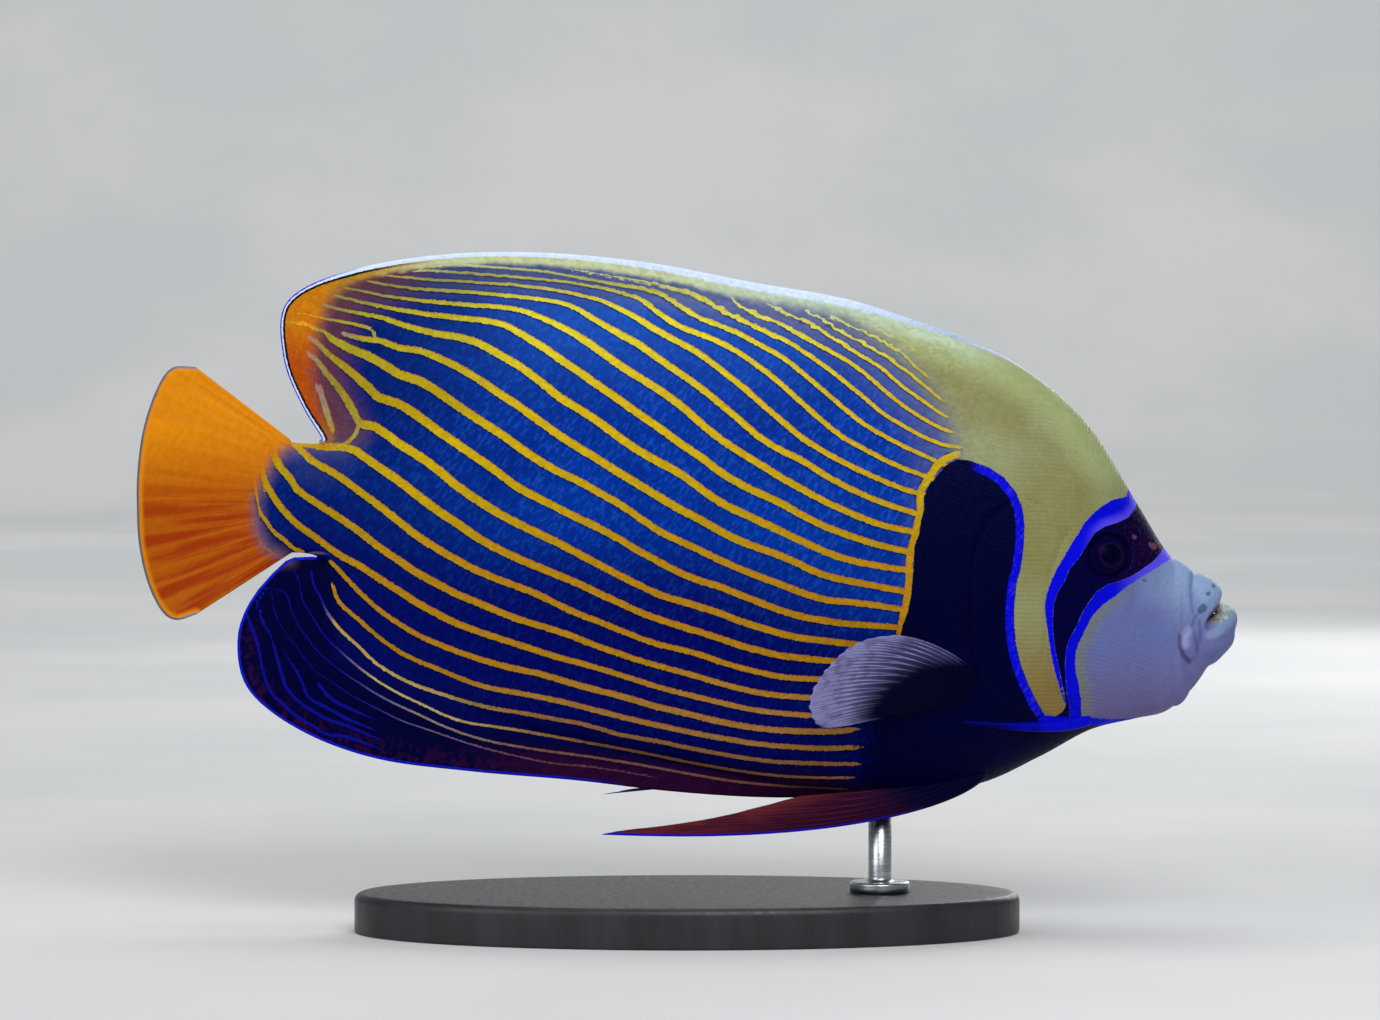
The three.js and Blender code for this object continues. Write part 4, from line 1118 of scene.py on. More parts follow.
    # tail
    radius = n.math("SQRT", n.math("POWER", x + 0.092, 2.0) + n.math("POWER", z - 0.13, 2.0))
    angle = n.math("ARCTAN2", z - 0.13, -0.092 - x)
    # painted shade: streaks fanning across the tail, mixed towards deeper orange where its folds would be
    # shaded
    folds = noise(1.6, 3, vector=n.vector(angle * 14.0, radius * 14.0))
    tail = mix(span(z, 0.122, 0.158), c["tailDeep"], c["tailYellow"])
    tail = mix(span(folds, 0.4, 0.62), tail, mix(0.4, tail, c["orange"]))
    tail = mix(span(field("tailEdge"), 2.6, 0.6), tail, c["tailYellow"])
    tail = mix(span(field("tailEdge"), 0.9, 0.5), tail, c["tailEdge"])
    # the anal fin's upper corner keeps its own colour
    clear = span(z - x * 0.65, 0.1903, 0.1909)
    color = mix(span(field("tailward"), -3.6, 1.4) * clear, color, tail)
    # black patch and breast, with the blue line along its front
    patch = field("patch") + jag * 3.0
    dark = mix(span(z, 0.05, 0.1), c["breast"], c["patch"])
    color = mix(span(patch, -1.0, 1.0), color, dark)
    line = span(jagBar, -2.75, -2.5) * span(field("patch"), 0, 3)
    line = line * span(x, 0.083, 0.088)
    line = line * span(z, 0.064, 0.068)
    line = line * span(field("nape"), -2, 3)
    lineTint = mix(span(hatch, 0.5, 0.7), c["line"], mix(0.25, c["line"], c["bandPale"]))
    color = mix(line, color, lineTint)
    color = mix(onBar, color, olive)
    # head
    snout = mix(span(cloud, 0.4, 0.7), c["snout"], mix(0.4, c["snout"], c["snoutMauve"]))
    snout = mix(span(z, 0.092, 0.068), snout, c["snoutMauve"])
    glow = span(z, 0.096, 0.103) * span(x, 0.132, 0.138)
    snout = mix(glow * 0.45, snout, c["snoutWhite"])
    snout = mix(span(z, 0.088, 0.106) * span(x, 0.136, 0.152), snout, c["snoutWhite"])
    cheek = field("cheek") + jag * 0.5
    mask = field("mask")
    band = field("band") + jag * 0.5
    snout = mix(span(field("cheek"), -5.5, -0.5) * span(x, 0.14, 0.118), snout, c["snoutOlive"])
    onFace = span(field("bar"), 0.0, -0.3) * span(field("patch"), 0.5, -0.5)
    forward = onFace * span(x, 0.104, 0.108)
    color = mix(forward, color, snout)
    maskTint = mix(span(noise(1500, 3), 0.5, 0.64) * span(x, 0.118, 0.144, 0.0, 0.8), c["mask"],
                   c["maskBrown"])
    color = mix(span(mask, -0.1, 0.1), color, maskTint)
    bandTint = mix(span(mask, -3.4, -0.2) * span(x, 0.116, 0.126), c["band"], c["bandPale"])
    color = mix(span(band, -0.12, 0.12), color, bandTint)
    cheekTint = mix(span(x, 0.126, 0.138), c["line"], c["bandPale"])
    color = mix(span(cheek, -0.12, 0.12), color, cheekTint)
    color = mix(span(field("throat") + jag, 0.25, -0.25), color, c["line"])
    speck = field("spot") + (noise(420, 2) - 0.5) * 1.6
    color = mix(span(speck, 0.3, -0.35) * 0.75, color, c["spot"])
    mouth = span(field("roll"), 2.0, 0.6)
    color = mix(mouth * 0.55, color, c["roll"])
    # painted shade darkening the creases round the mouth
    color = mix(span(field("creaseShade"), 1.3, 0.1) * 0.4, color, c["creaseShade"])
    # painted shade, dark maroon, in the deepest fold beside the lip pad
    color = mix(span(field("fold"), 1.5, 0.1) * 0.75, color, c["fold"])
    # painted highlight: a pale spot on the lip pad
    color = mix(span(field("pad"), 2.2, 0.2) * 0.4, color, c["pad"])
    knobs = span(noise(620, 2), 0.45, 0.62)
    lining = mix(knobs * 0.7, c["lining"], c["liningPale"])
    lining = mix(span(field("gap"), -1.5, 0.0, 0.0, 0.8), lining, c["liningWarm"])
    color = mix(span(field("lining") + jag * 0.4, -0.4, 0.5), color, lining)
    # painted shade filling the mouth's open gap
    color = mix(span(field("gap") + jag * 0.3, -0.3, 0.6), color, c["gap"])
    color = mix(span(field("pore"), 0.25, -0.2) * 0.7, color, c["pore"])
    # fin margins
    dorsal = field("dorsalEdge") + jag * 0.3
    upTop = span(z, 0.1472, 0.148)
    width = span(x, -0.118, -0.095, 0.8, 1.3) + span(x, -0.06, 0.03, 0.0, 1.1)
    width = width - span(x, 0.045, 0.1, 0.0, 2.05, False)
    width = width - span(x, 0.1, 0.122, 0.0, 0.5)
    past = dorsal - width
    rear = span(x, -0.07, -0.1)
    color = mix(span(past, 0.85, 0.5) * (upTop * rear), color, c["black"])
    soft = span(x, -0.06, 0.03, 0.12, 0.7) * span(x, 0.06, 0.1, 1.0, 0.4)
    margin = mix(span(x, 0.04, 0.085), c["white"], c["whiteBlue"])
    onMargin = span(past, soft, soft * -1.0)
    color = mix(onMargin * upTop, color, margin)
    rim = span(dorsal, 0.5, 0.3) * (upTop * span(x, -0.09, -0.115))
    color = mix(rim, color, c["line"])
    anal = span(field("analEdge"), 1.0, 0.65) * span(x, -0.015, -0.035)
    color = mix(anal, color, c["analEdge"])
    color = mix(span(field("notch"), 0.15, -0.15) * 0.8, color, c["coolPale"])
    if onScales:
        swing = span(x, 0.075, 0.1, 0.11, 0.035)
        shade = 1.0 + swing * span(field("shade"), 0, 1, -1, 1, False)
    else:
        shade = span(hatch, 0.3, 0.7, 0.94, 1.06)
    color = mix(1.0, color, n.vector(shade, shade, shade), "MULTIPLY")
    height = hatch + fine * 0.5
    normal = n.bump(height, 0.0002, 0.35)
    rough = span(fine, 0.3, 0.7, 0.4, 0.54)
    return n.finish(color, rough, normal, Specular_IOR_Level=0.07, Specular_Tint=coolGloss)


def simpleMaterial(name, low, high, scale, roughness, stretch=None, bumpDepth=0.0002, **values):
    n = Nodes(name)
    grain = n.noise(scale, 4, stretch)
    color = n.mix(n.span(grain, 0.35, 0.65), low, high)
    fine = n.noise(scale * 6, 2, stretch)
    normal = n.bump(grain + fine, bumpDepth, 0.4)
    rough = n.span(fine, 0.3, 0.7, roughness - 0.06, roughness + 0.06)
    return n.finish(color, rough, normal, **values)


# Scales: plates set on the skin by Geometry Nodes, each with its root towards the head.

scales = {
    "pitchAlong": 1.12,
    "pitchUp": 1.32,
    "length": 1.95,
    "width": 1.5,
    "lift": 0.13,
    "crown": 0.07,
    "sink": 0.25,
    "tilt": 0.05,
    "seed": 7,
}


def scalePlate():
    # one scale at the origin: root at +X, free edge at -X, outward +Z
    long, wide = scales["length"], scales["width"]
    tops = []
    for i, (along, spread, lift) in enumerate([(0.5, 0.7, -0.08), (-0.05, 1.0, 0.6), (-0.5, 0.62, 1.0)]):
        for j in (-1, 0, 1):
            reach = along - (0.14 if i == 2 and j == 0 else 0)
            height = scales["lift"] * lift + (scales["crown"] if j == 0 else 0)
            tops.append([reach * long, j * spread * wide / 2, height])
    tops.append([0.1 * long, 0, -scales["sink"]])
    plate = [[0, 3, 4, 1], [1, 4, 5, 2], [3, 6, 7, 4], [4, 7, 8, 5]]
    rim = [0, 1, 2, 5, 8, 7, 6, 3]
    mesh = bpy.data.meshes.new("scalePlate")
    faces = [tuple(face[::-1]) for face in plate] + [(rim[k], rim[(k + 1) % 8], 9) for k in range(8)]
    mesh.from_pydata([tuple(Vector(p) * metre) for p in tops], [], faces)
    mesh.update()
    shadeSmooth(mesh)
    sharp = mesh.attributes.new("sharp_edge", "BOOLEAN", "EDGE")
    for k, edge in enumerate(mesh.edges):
        sharp.data[k].value = set(edge.vertices) <= set(rim)
    return newObject("scalePlate", mesh)


def newGroup(name, inputs):
    # a Geometry Nodes group that takes points and the named inputs, and gives geometry
    tree = bpy.data.node_groups.new(name, "GeometryNodeTree")
    for word, kind in [("Geometry", "Geometry"), *inputs]:
        tree.interface.new_socket(word, in_out="INPUT", socket_type="NodeSocket" + kind)
    tree.interface.new_socket("Geometry", in_out="OUTPUT", socket_type="NodeSocketGeometry")

    def make(kind, **inputs):
        node = tree.nodes.new(kind)
        for word, value in inputs.items():
            node.inputs[word.replace("_", " ")].default_value = value
        return node

    return tree, make, tree.links.new


def turnedCopies(make, link, points, source):
    # copies of the source on every point, turned by the points' own angles
    turn = make("GeometryNodeInputNamedAttribute")
    turn.data_type = "FLOAT_VECTOR"
    turn.inputs["Name"].default_value = "turn"
    place = make("GeometryNodeInstanceOnPoints")
    link(points, place.inputs["Points"])
    link(source, place.inputs["Instance"])
    link(turn.outputs[0], place.inputs["Rotation"])
    return place


def closeGroup(make, link, copies, coat):
    real, cover = make("GeometryNodeRealizeInstances"), make("GeometryNodeSetMaterial", Material=coat)
    link(copies, real.inputs[0])
    link(real.outputs[0], cover.inputs["Geometry"])
    link(cover.outputs[0], make("NodeGroupOutput").inputs[0])


def growPiece(name, points, turns, sizes, tree, inputs):
    # runs the group on the points and keeps what it makes as a plain mesh
    mesh = bpy.data.meshes.new(name + "Seeds")
    mesh.from_pydata([tuple(p) for p in np.asarray(points) * metre], [], [])
    turn = mesh.attributes.new("turn", "FLOAT_VECTOR", "POINT")
    turn.data.foreach_set("vector", np.array(turns, np.float32).ravel())
    if sizes is not None:
        setField(mesh, "size", sizes)
    seeds = newObject(name + "Seeds", mesh)
    modifier = seeds.modifiers.new("grow", "NODES")
    modifier.node_group = tree
    for item in tree.interface.items_tree:
        if item.in_out == "INPUT" and item.name in inputs:
            modifier[item.identifier] = inputs[item.name]
    made = bpy.data.meshes.new_from_object(seeds.evaluated_get(bpy.context.evaluated_depsgraph_get()))
    bpy.data.objects.remove(seeds)
    made.name = name
    return newObject(name, made)


def scaleTree(coat):
    inputs = [("Plate", "Object"), ("Tilt", "Float"), ("Seed", "Int")]
    tree, make, link = newGroup("scaleCoat", inputs)
    start = make("NodeGroupInput")
    plate = make("GeometryNodeObjectInfo")
    link(start.outputs["Plate"], plate.inputs["Object"])
    # every scale gets its own shade and a small lean
    shade = make("FunctionNodeRandomValue")
    link(start.outputs["Seed"], shade.inputs["Seed"])
    keep = make("GeometryNodeStoreNamedAttribute")
    keep.data_type = "FLOAT"
    keep.inputs["Name"].default_value = "shade"
    link(start.outputs["Geometry"], keep.inputs["Geometry"])
    link(shade.outputs[1], keep.inputs["Value"])
    wobble = make("FunctionNodeRandomValue")
    wobble.data_type = "FLOAT_VECTOR"
    link(start.outputs["Seed"], wobble.inputs["Seed"])
    for socket, sign in enumerate((-1, 1)):
        limit = make("ShaderNodeVectorMath")
        limit.operation = "SCALE"
        limit.inputs[0].default_value = (sign, sign, sign)
        link(start.outputs["Tilt"], limit.inputs["Scale"])
        link(limit.outputs[0], wobble.inputs[socket])
    place = turnedCopies(make, link, keep.outputs[0], plate.outputs["Geometry"])
    size = make("GeometryNodeInputNamedAttribute", Name="size")
    link(size.outputs[0], place.inputs["Scale"])
    lean = make("GeometryNodeRotateInstances", Local_Space=True)
    link(place.outputs[0], lean.inputs["Instances"])
    link(wobble.outputs[0], lean.inputs["Rotation"])
    closeGroup(make, link, lean.outputs[0], coat)
    return tree


def gridSample(grid, c, r):
    # a point of the skin grid at a fractional column and row
    i, j = np.minimum(c.astype(int), grid.shape[0] - 2), np.minimum(r.astype(int), grid.shape[1] - 2)
    f, g = (c - i)[:, None], (r - j)[:, None]
    low = grid[i, j] * (1 - f) + grid[i + 1, j] * f
    high = grid[i, j + 1] * (1 - f) + grid[i + 1, j + 1] * f
    return low * (1 - g) + high * g


def scaleSeeds(grid, side):
    # columns of scales a fixed step apart along the body, and even steps round it
    rows = grid.shape[1]
    middle = grid[:, rows // 2]
    step = np.concatenate([[0], np.cumsum(np.linalg.norm(np.diff(middle, axis=0), axis=1))])
    firstColumn, lastColumn = body["tailColumns"] - 13, len(grid) - body["muzzleRings"] - 4
    along = np.arange(step[firstColumn], step[lastColumn], scales["pitchAlong"])
    places = []
    for k, at in enumerate(along):
        c = np.interp(at, step, np.arange(len(step)))
        line = gridSample(grid, np.full(rows, c), np.arange(rows, dtype=float))
        girth = np.concatenate([[0], np.cumsum(np.linalg.norm(np.diff(line, axis=0), axis=1))])
        count = int(girth[-1] / scales["pitchUp"])
        at = (np.arange(count) + (0.75 if k % 2 else 0.25)) * scales["pitchUp"]
        at = at[at < girth[-1]]
        r = np.interp(at, girth, np.arange(rows))
        edge = np.minimum(at, girth[-1] - at)
        places.append(np.stack([np.full(len(r), c), r, edge], 1))
    c, r, edge = np.concatenate(places).T
    point = gridSample(grid, c, r)
    before, after = np.maximum(c - 0.6, 0), np.minimum(c + 0.6, len(grid) - 1.01)
    ahead = gridSample(grid, after, r) - gridSample(grid, before, r)
    below, over = np.maximum(r - 0.6, 0), np.minimum(r + 0.6, rows - 1.01)
    up = gridSample(grid, c, over) - gridSample(grid, c, below)
    ahead /= np.linalg.norm(ahead, axis=1, keepdims=True)
    up -= (up * ahead).sum(1, keepdims=True) * ahead
    up /= np.maximum(np.linalg.norm(up, axis=1, keepdims=True), 1e-6)
    normal = np.cross(ahead, up) * side * -1
    awayEye = np.hypot(point[:, 0] - eye["x"], point[:, 2] - eye["z"])
    # smaller towards the mouth, the tail, the edges and round the eye
    size = 0.75 + 0.25 * ramp(-point[:, 0], -112, -84)
    size *= ramp(awayEye, 6.5, 9.5)
    size *= ramp(-point[:, 0], -146, -136)
    size *= ramp(point[:, 0], -132, -120)
    size *= 0.35 + 0.65 * ramp(edge, 0.6, 5)
    keep = (size > 0.3) & (edge > 0.7)
    return [item[keep] for item in (point, ahead, normal, size, c, r)]


def buildScales(name, grid, side, plate, tree, part):
    point, ahead, normal, size, c, r = scaleSeeds(grid, side)
    pick = part(point[:, 0])
    point, ahead, normal, size, c, r = [item[pick] for item in (point, ahead, normal, size, c, r)]
    across = np.cross(normal, ahead)
    turns = [Matrix(axes).transposed().to_euler("XYZ") for axes in zip(ahead, across, normal)]
    inputs = {"Plate": plate, "Tilt": scales["tilt"], "Seed": scales["seed"] + side}
    piece = growPiece(name, point, turns, size, tree, inputs)
    paintMarkings(piece.data)
    spreadScaleMap(piece.data, c / grid.shape[0], r / grid.shape[1], side)
    return piece


def spreadScaleMap(mesh, along, up, side):
    # each scale is a small patch at its root's place on an unwrap of the skin
    patch = 0.003
    local = np.array([[i / 2, j / 2] for i in range(3) for j in range(3)] + [[0.5, 0.5]])
    each = len(local)
    u = 0.01 + (along * 0.98) * 0.485 + (0.5 if side > 0 else 0.0)
    corner = np.stack([u, 0.01 + up * 0.97], 1)
    perPoint = np.repeat(corner, each, 0) + np.tile(local, (len(u), 1)) * patch
    loops = np.empty(len(mesh.loops), int)
    mesh.loops.foreach_get("vertex_index", loops)
    layer = mesh.uv_layers.new(name="OFBake")
    layer.data.foreach_set("uv", perPoint[loops].astype(np.float32).ravel())


# Paired fins: a fan of rays with thin skin between them. A guide ray is root x, root z, tip x, tip z,
# how far the tip stands off, and how far the ray bows up. The tuck, sink and rise hide the root's end
# in the body, and early moves the bow towards the root.

pectoral = {
    "guides": [
        [83.8, 81.9, 61.4, 91.2, 9, 1.8], [83.2, 79.9, 53.4, 90.3, 14, 3.0],
        [82.5, 77.7, 47.2, 87.7, 19, 3.6], [81.9, 75.9, 42.3, 83.5, 23, 3.6],
        [81.3, 74.1, 38.3, 78.6, 25, 3.3], [80.4, 72.3, 35.9, 72.7, 26, 2.6],
        [79.2, 70.8, 37.2, 66.9, 25, 1.8], [78.0, 69.6, 41.4, 64.5, 22, 1.0],
        [76.8, 68.7, 51.9, 65.7, 15, 0.4],
    ],
    "rays": 17,
    "perRay": 12,
    "rows": 70,
    "rootHalf": 1.0,
    "ridge": 0.24,
    "web": 0.13,
    "forks": 2,
    "tuck": 0.0,
    "sink": 1.5,
    "rise": 0.0,
    "early": 1.0,
}
pelvic = {
    "guides": [
        [90.6, 49.8, -25.5, 30.9, 10, -10.0], [86.8, 48.4, -19.1, 32.0, 9.2, -8.2],
        [83.0, 47.4, -4.6, 33.6, 8, -6.0], [78.8, 46.6, 9.4, 35.8, 6.6, -3.8],
        [74.4, 46.0, 22.6, 38.9, 5, -1.8], [69.9, 45.3, 34.0, 41.8, 3.2, -0.4],
    ],
    # the left fin is carried higher, along the belly
    "leftGuides": [
        [90.6, 49.8, -25.5, 39.9, 10, 0.9], [86.8, 48.4, -17.5, 41.4, 9.7, 1.2],
        [83.0, 47.4, -3.6, 43.7, 9.5, 1.5], [78.8, 46.6, 9.4, 46.2, 9.2, 2.0],
        [74.4, 46.0, 23.4, 48.2, 8.6, 1.5], [69.9, 45.3, 36.4, 50.4, 7.6, 1.0],
    ],
    "rays": 7,
    "perRay": 14,
    "rows": 110,
    "rootHalf": 1.2,
    "ridge": 0.32,
    "web": 0.15,
    "forks": 1,
    "rootY": 6.5,
    "tuck": 1.0,
    "sink": 40.0,
    "rise": 30.0,
    "early": 0.5,
}


def pairedFin(name, fin, side, rootY):
    columns = fin["rays"] * fin["perRay"] + 1
    rows = fin["rows"]
    ownGuides = fin.get("leftGuides", fin["guides"]) if side > 0 else fin["guides"]
    guides = smoothRows(ownGuides, columns)
    u = np.linspace(0, 1, columns)[:, None]
    v = np.linspace(-0.08, 1, rows)[None]
    out = np.clip(v, 0, 1)
    rootX, rootZ, tipX, tipZ, stand, bow = [guides[:, k][:, None] for k in range(6)]
    wave = 1 + 0.006 * np.sin(u * fin["rays"] * 2 * math.pi) * out ** 6
    # the root ends of the rays are tucked into the body
    hidden = np.clip(-v, 0, None)
    reach = (v + hidden * fin["tuck"]) * wave
    early = fin["early"]
    sway = out ** early * (1 - out) / ((early / (1 + early)) ** early / (1 + early))
    x = rootX + (tipX - rootX) * reach
    z = rootZ + (tipZ - rootZ) * reach + bow * sway + hidden * fin["rise"]
    y = rootY(rootX, rootZ) + stand * out ** 1.1 - hidden * fin["sink"]
    middle = np.stack([x, side * y, z], -1)
    du = np.gradient(middle, axis=0)
    dv = np.gradient(middle, axis=1)
    normal = np.cross(du, dv)
    normal /= np.maximum(np.linalg.norm(normal, axis=-1, keepdims=True), 1e-9)
    # each ray forks on its way out
    place = np.abs((u * fin["rays"]) % 1 - 0.5) - ramp(out, 0.3, 0.75) * 0.25
    if fin["forks"] == 2:
        place = np.abs(place) - ramp(out, 0.6, 0.95) * 0.12
    ray = bump(place, 0.11 - 0.05 * out)
    thick = fin["web"] + fin["ridge"] * ray * (1 - out) ** 0.6 + fin["rootHalf"] * np.exp(-6 * out)
    edge = np.minimum(np.minimum(u, 1 - u) * fin["rays"] * 1.2, (1 - out) * rows / 2)
    offset = normal * (thick * roundOff(edge, 0.8))[..., None]
    front = (middle + offset).reshape(-1, 3)
    rear = (middle - offset).reshape(-1, 3)
    quads = gridFaces(columns, rows)
    count = columns * rows
    piece = meshPiece(name, np.vstack([front, rear]), np.vstack([quads, quads[:, ::-1] + count]))
    setField(piece.data, "across", np.tile(np.repeat(u[:, 0], rows), 2))
    setField(piece.data, "outward", np.tile(np.tile(out[0], columns), 2))
    setField(piece.data, "rayline", np.tile(ray.ravel(), 2))
    # the faces meet along the margin, and quads close the root between them
    starts = [i * rows for i in range(columns - 1)]
    weldPoints(piece, [(a + rows, a, a + count, a + rows + count) for a in starts])
    return piece


def finMaterial(name, c):
    # the dark base ends at c["ends"] along the two edges; a fin with a lead tint has a bright front edge
    n = Nodes(name)
    out, across, ray = (n.field("outward"), n.field("across"), n.field("rayline"))
    streak = n.noise(420, 3, (6.0, 1.0, 1.0))
    fine = n.noise(800, 2)
    color = n.mix(n.span(out, 0.45, 1.0), c["near"], c["far"])
    color = n.mix(n.span(ray, 0.2, 0.8) * 0.75, color, c["ray"])
    color = n.mix(n.span(streak, 0.45, 0.65) * 0.45, color, c["near"])
    edge = n.span(across, 0.0, 1.0, c["ends"][0], c["ends"][1], False)
    reach = out + streak * 0.12 - edge
    color = n.mix(n.span(reach, 0.22, -0.08), color, c["base"])
    if "lead" in c:
        color = n.mix(n.span(across, 0.13, 0.07) * n.span(out, 0.12, 0.34), color, c["lead"])
    normal = n.bump(fine + ray, 0.0002, 0.35)
    return n.finish(color, n.span(fine, 0.3, 0.7, 0.45, 0.6), normal, Specular_IOR_Level=0.08,
                    Specular_Tint=coolGloss)


# Eyes, teeth and the cheek spines.

def flankNormal(x, z):
    # the way the flank faces at x and z
    rear, ahead, low, high = bodyHalf(np.array([x - 2.0, x + 2.0, x, x]), np.array([z, z, z - 2.0, z + 2.0]))
    normal = np.array([(rear - ahead) / 4, 1.0, (low - high) / 4])
    return normal / np.linalg.norm(normal)


def buildEye(side):
    radius = eye["radius"]
    normal = flankNormal(eye["x"], eye["z"])
    half = bodyHalf(np.array([eye["x"]]), np.array([eye["z"]]))[0]
    centre = np.array([eye["x"], half, eye["z"]]) + normal * (eye["proud"] - radius * eye["flat"])
    columns, around = 40, 64
    level = np.cross(normal, [0, 0, 1.0])
    level /= np.linalg.norm(level)
    upright = np.cross(normal, level)
    points, axial = [], []
    for polar in np.linspace(0, math.pi, columns):
        outer = polar < math.pi / 2
        out, rise = math.sin(polar) * radius, math.cos(polar) * radius * eye["flat"]
        cornea = 0.35 * math.exp(-((out / 3.6) ** 2)) if outer else 0
        for q in np.linspace(0, 2 * math.pi, around, endpoint=False):
            ring = out * (math.cos(q) * level + math.sin(q) * upright)
            points.append(centre + normal * (rise + cornea) + ring)
            axial.append(out if outer else 20)
    points = np.array(points) * np.array([1, side, 1])
    faces = gridFaces(columns, around, True)
    if side < 0:
        faces = faces[:, ::-1]
    piece = meshPiece("glass_eye_" + ("left" if side > 0 else "right"), points, faces)
    setField(piece.data, "axial", axial)
    weldPoints(piece)
    return piece


def eyeMaterial():
    n = Nodes("darkEye")
    ring = n.field("axial")
    grain = n.noise(900, 3)
    wobbled = ring + (grain - 0.5) * 0.5
    color = n.mix(n.span(wobbled, 3.1, 3.4), tint(2, 1, 26), tint(3, 1, 40))
    color = n.mix(n.span(wobbled, 4.4, 5.6), color, tint(3, 1, 42))
    glint = n.span(wobbled, 3.0, 3.4) * n.span(wobbled, 4.2, 3.6)
    color = n.mix(glint * 0.45, color, tint(40, 8, 50))
    return n.finish(color, n.span(grain, 0, 1, 0.3, 0.38), None, Specular_IOR_Level=0.04,
                    Specular_Tint=coolGloss)


cheekSpine = {
    "rows": [
        [120.4, 64.6, 2.0], [113.0, 63.2, 1.9], [105.9, 62.8, 1.6], [96.0, 63.2, 1.2], [88.0, 64.0, 0.8],
        [82.0, 64.6, 0.3]],
    "steps": 60,
    "around": 24,
    "squash": 0.8,
}


def spineMaterial():
    n = Nodes("spineBlue")
    grain = n.noise(320, 3, (1, 1, 3))
    color = n.mix(n.span(n.axis("X"), 0.09, 0.114), tint(2, 2, 92), tint(8, 9, 196))
    color = n.mix(n.span(grain, 0.5, 0.7, 0.0, 0.4), color, tint(2, 2, 70))
    normal = n.bump(grain, 0.0002, 0.4)
    return n.finish(color, n.span(grain, 0.3, 0.7, 0.4, 0.5), normal, Specular_IOR_Level=0.07,
                    Specular_Tint=coolGloss)


def taperedBar(name, centres, radii, around, squash):
    centres = np.array(centres, float)
    forward = np.gradient(centres, axis=0)
    forward /= np.linalg.norm(forward, axis=1, keepdims=True)
    side = np.cross(forward, [0, 0, 1.0])
    side /= np.linalg.norm(side, axis=1, keepdims=True)
    other = np.cross(side, forward)
    turn = np.linspace(0, 2 * math.pi, around, endpoint=False)
    circle = np.cos(turn)[None, :, None] * side[:, None] * squash
    circle = circle + np.sin(turn)[None, :, None] * other[:, None]
    rings = centres[:, None] + radii[:, None, None] * circle
    piece = meshPiece(name, rings.reshape(-1, 3), gridFaces(len(centres), around, True))
    weldPoints(piece)
    return piece


def buildCheekSpine(side):
    x, z, radius = smoothRows(cheekSpine["rows"], cheekSpine["steps"]).T
    ends = np.linspace(0, 1, len(x))
    radius = radius * roundOff(ends, 0.05) * roundOff(1 - ends, 0.03)
    centres = np.stack([x, side * (bodyHalf(x, z) + 0.3 * radius), z], 1)
    name = "cheek_spine_bar_" + ("left" if side > 0 else "right")
    return taperedBar(name, centres, radius, cheekSpine["around"], cheekSpine["squash"])


teeth = {
    "count": 13, "radius": 0.4, "height": 1.7, "spread": 0.44, "inward": 1.5, "sunk": 1.0, "lean": -0.35,
}


def buildTeeth():
    # brush teeth: slender cones along the inner edge of the lower lip, set there by Geometry Nodes
    lip = muzzle["lowerLip"]
    corner, front = lip["corner"], lip["front"]
    roots = []
    for k in range(teeth["count"]):
        t = (2 * k / (teeth["count"] - 1) - 1) * teeth["spread"] * math.pi / 2
        bulge, rise = math.cos(t) ** 0.8, math.cos(t) ** lip["late"]
        x = corner[0] + (front[0] - corner[0]) * bulge - teeth["inward"]
        z = corner[1] + (front[1] - corner[1]) * rise
        z += lip["thin"] + (lip["thick"] - lip["thin"]) * rise - teeth["sunk"]
        roots.append([x, lip["halfWidth"] * math.sin(t), z])
    turns = [[0, teeth["lean"], 0]] * len(roots)
    ivory = simpleMaterial("ivory", tint(214, 204, 170), tint(238, 230, 204), 400, 0.3)
    tree, make, link = newGroup("toothBrush", [("Radius", "Float"), ("Height", "Float")])
    start = make("NodeGroupInput")
    cone = make("GeometryNodeMeshCone", Vertices=10, Side_Segments=4, Radius_Top=0.0001)
    link(start.outputs["Radius"], cone.inputs["Radius Bottom"])
    link(start.outputs["Height"], cone.inputs["Depth"])
    place = turnedCopies(make, link, start.outputs["Geometry"], cone.outputs["Mesh"])
    closeGroup(make, link, place.outputs[0], ivory)
    inputs = {"Radius": teeth["radius"] * metre, "Height": teeth["height"] * metre}
    return growPiece("teeth", roots, turns, None, tree, inputs)


# The stand.

stand = {
    "length": 200.0, "width": 100.0, "height": 12.0, "bevel": 2.5, "segments": 160,
    "rodX": 58.0, "rodRadius": 3.5, "footRadius": 9.0, "footHeight": 3.0, "gap": 0.3,
}


def turned(name, profile, segments, centreX=0.0, narrow=1.0):
    turn = np.linspace(0, 2 * math.pi, segments, endpoint=False)
    points = []
    for radius, height in profile:
        x, y = centreX + radius * np.cos(turn), radius * np.sin(turn) * narrow
        points.append(np.stack([x, y, np.full(segments, height)], 1))
    piece = meshPiece(name, np.concatenate(points), gridFaces(len(profile), segments, True))
    weldPoints(piece)
    return piece


def roundedCorner(cx, cy, radius, start, end):
    return [[cx + radius * math.cos(a), cy + radius * math.sin(a)] for a in np.linspace(start, end, 8)]


def buildBase():
    s = stand
    r = s["length"] / 2
    profile = [[0.01, 0.0], [r - 3, 0.0], [r - 1.0, 0.0]]
    profile += roundedCorner(r - 1.0, 1.0, 1.0, -math.pi / 2, 0)
    profile += roundedCorner(r - s["bevel"], s["height"] - s["bevel"], s["bevel"], 0, math.pi / 2)
    profile += [[r - 8, s["height"]], [r - 30, s["height"]], [0.01, s["height"]]]
    return turned("stand_base_top", profile, s["segments"], 0.0, s["width"] / s["length"])


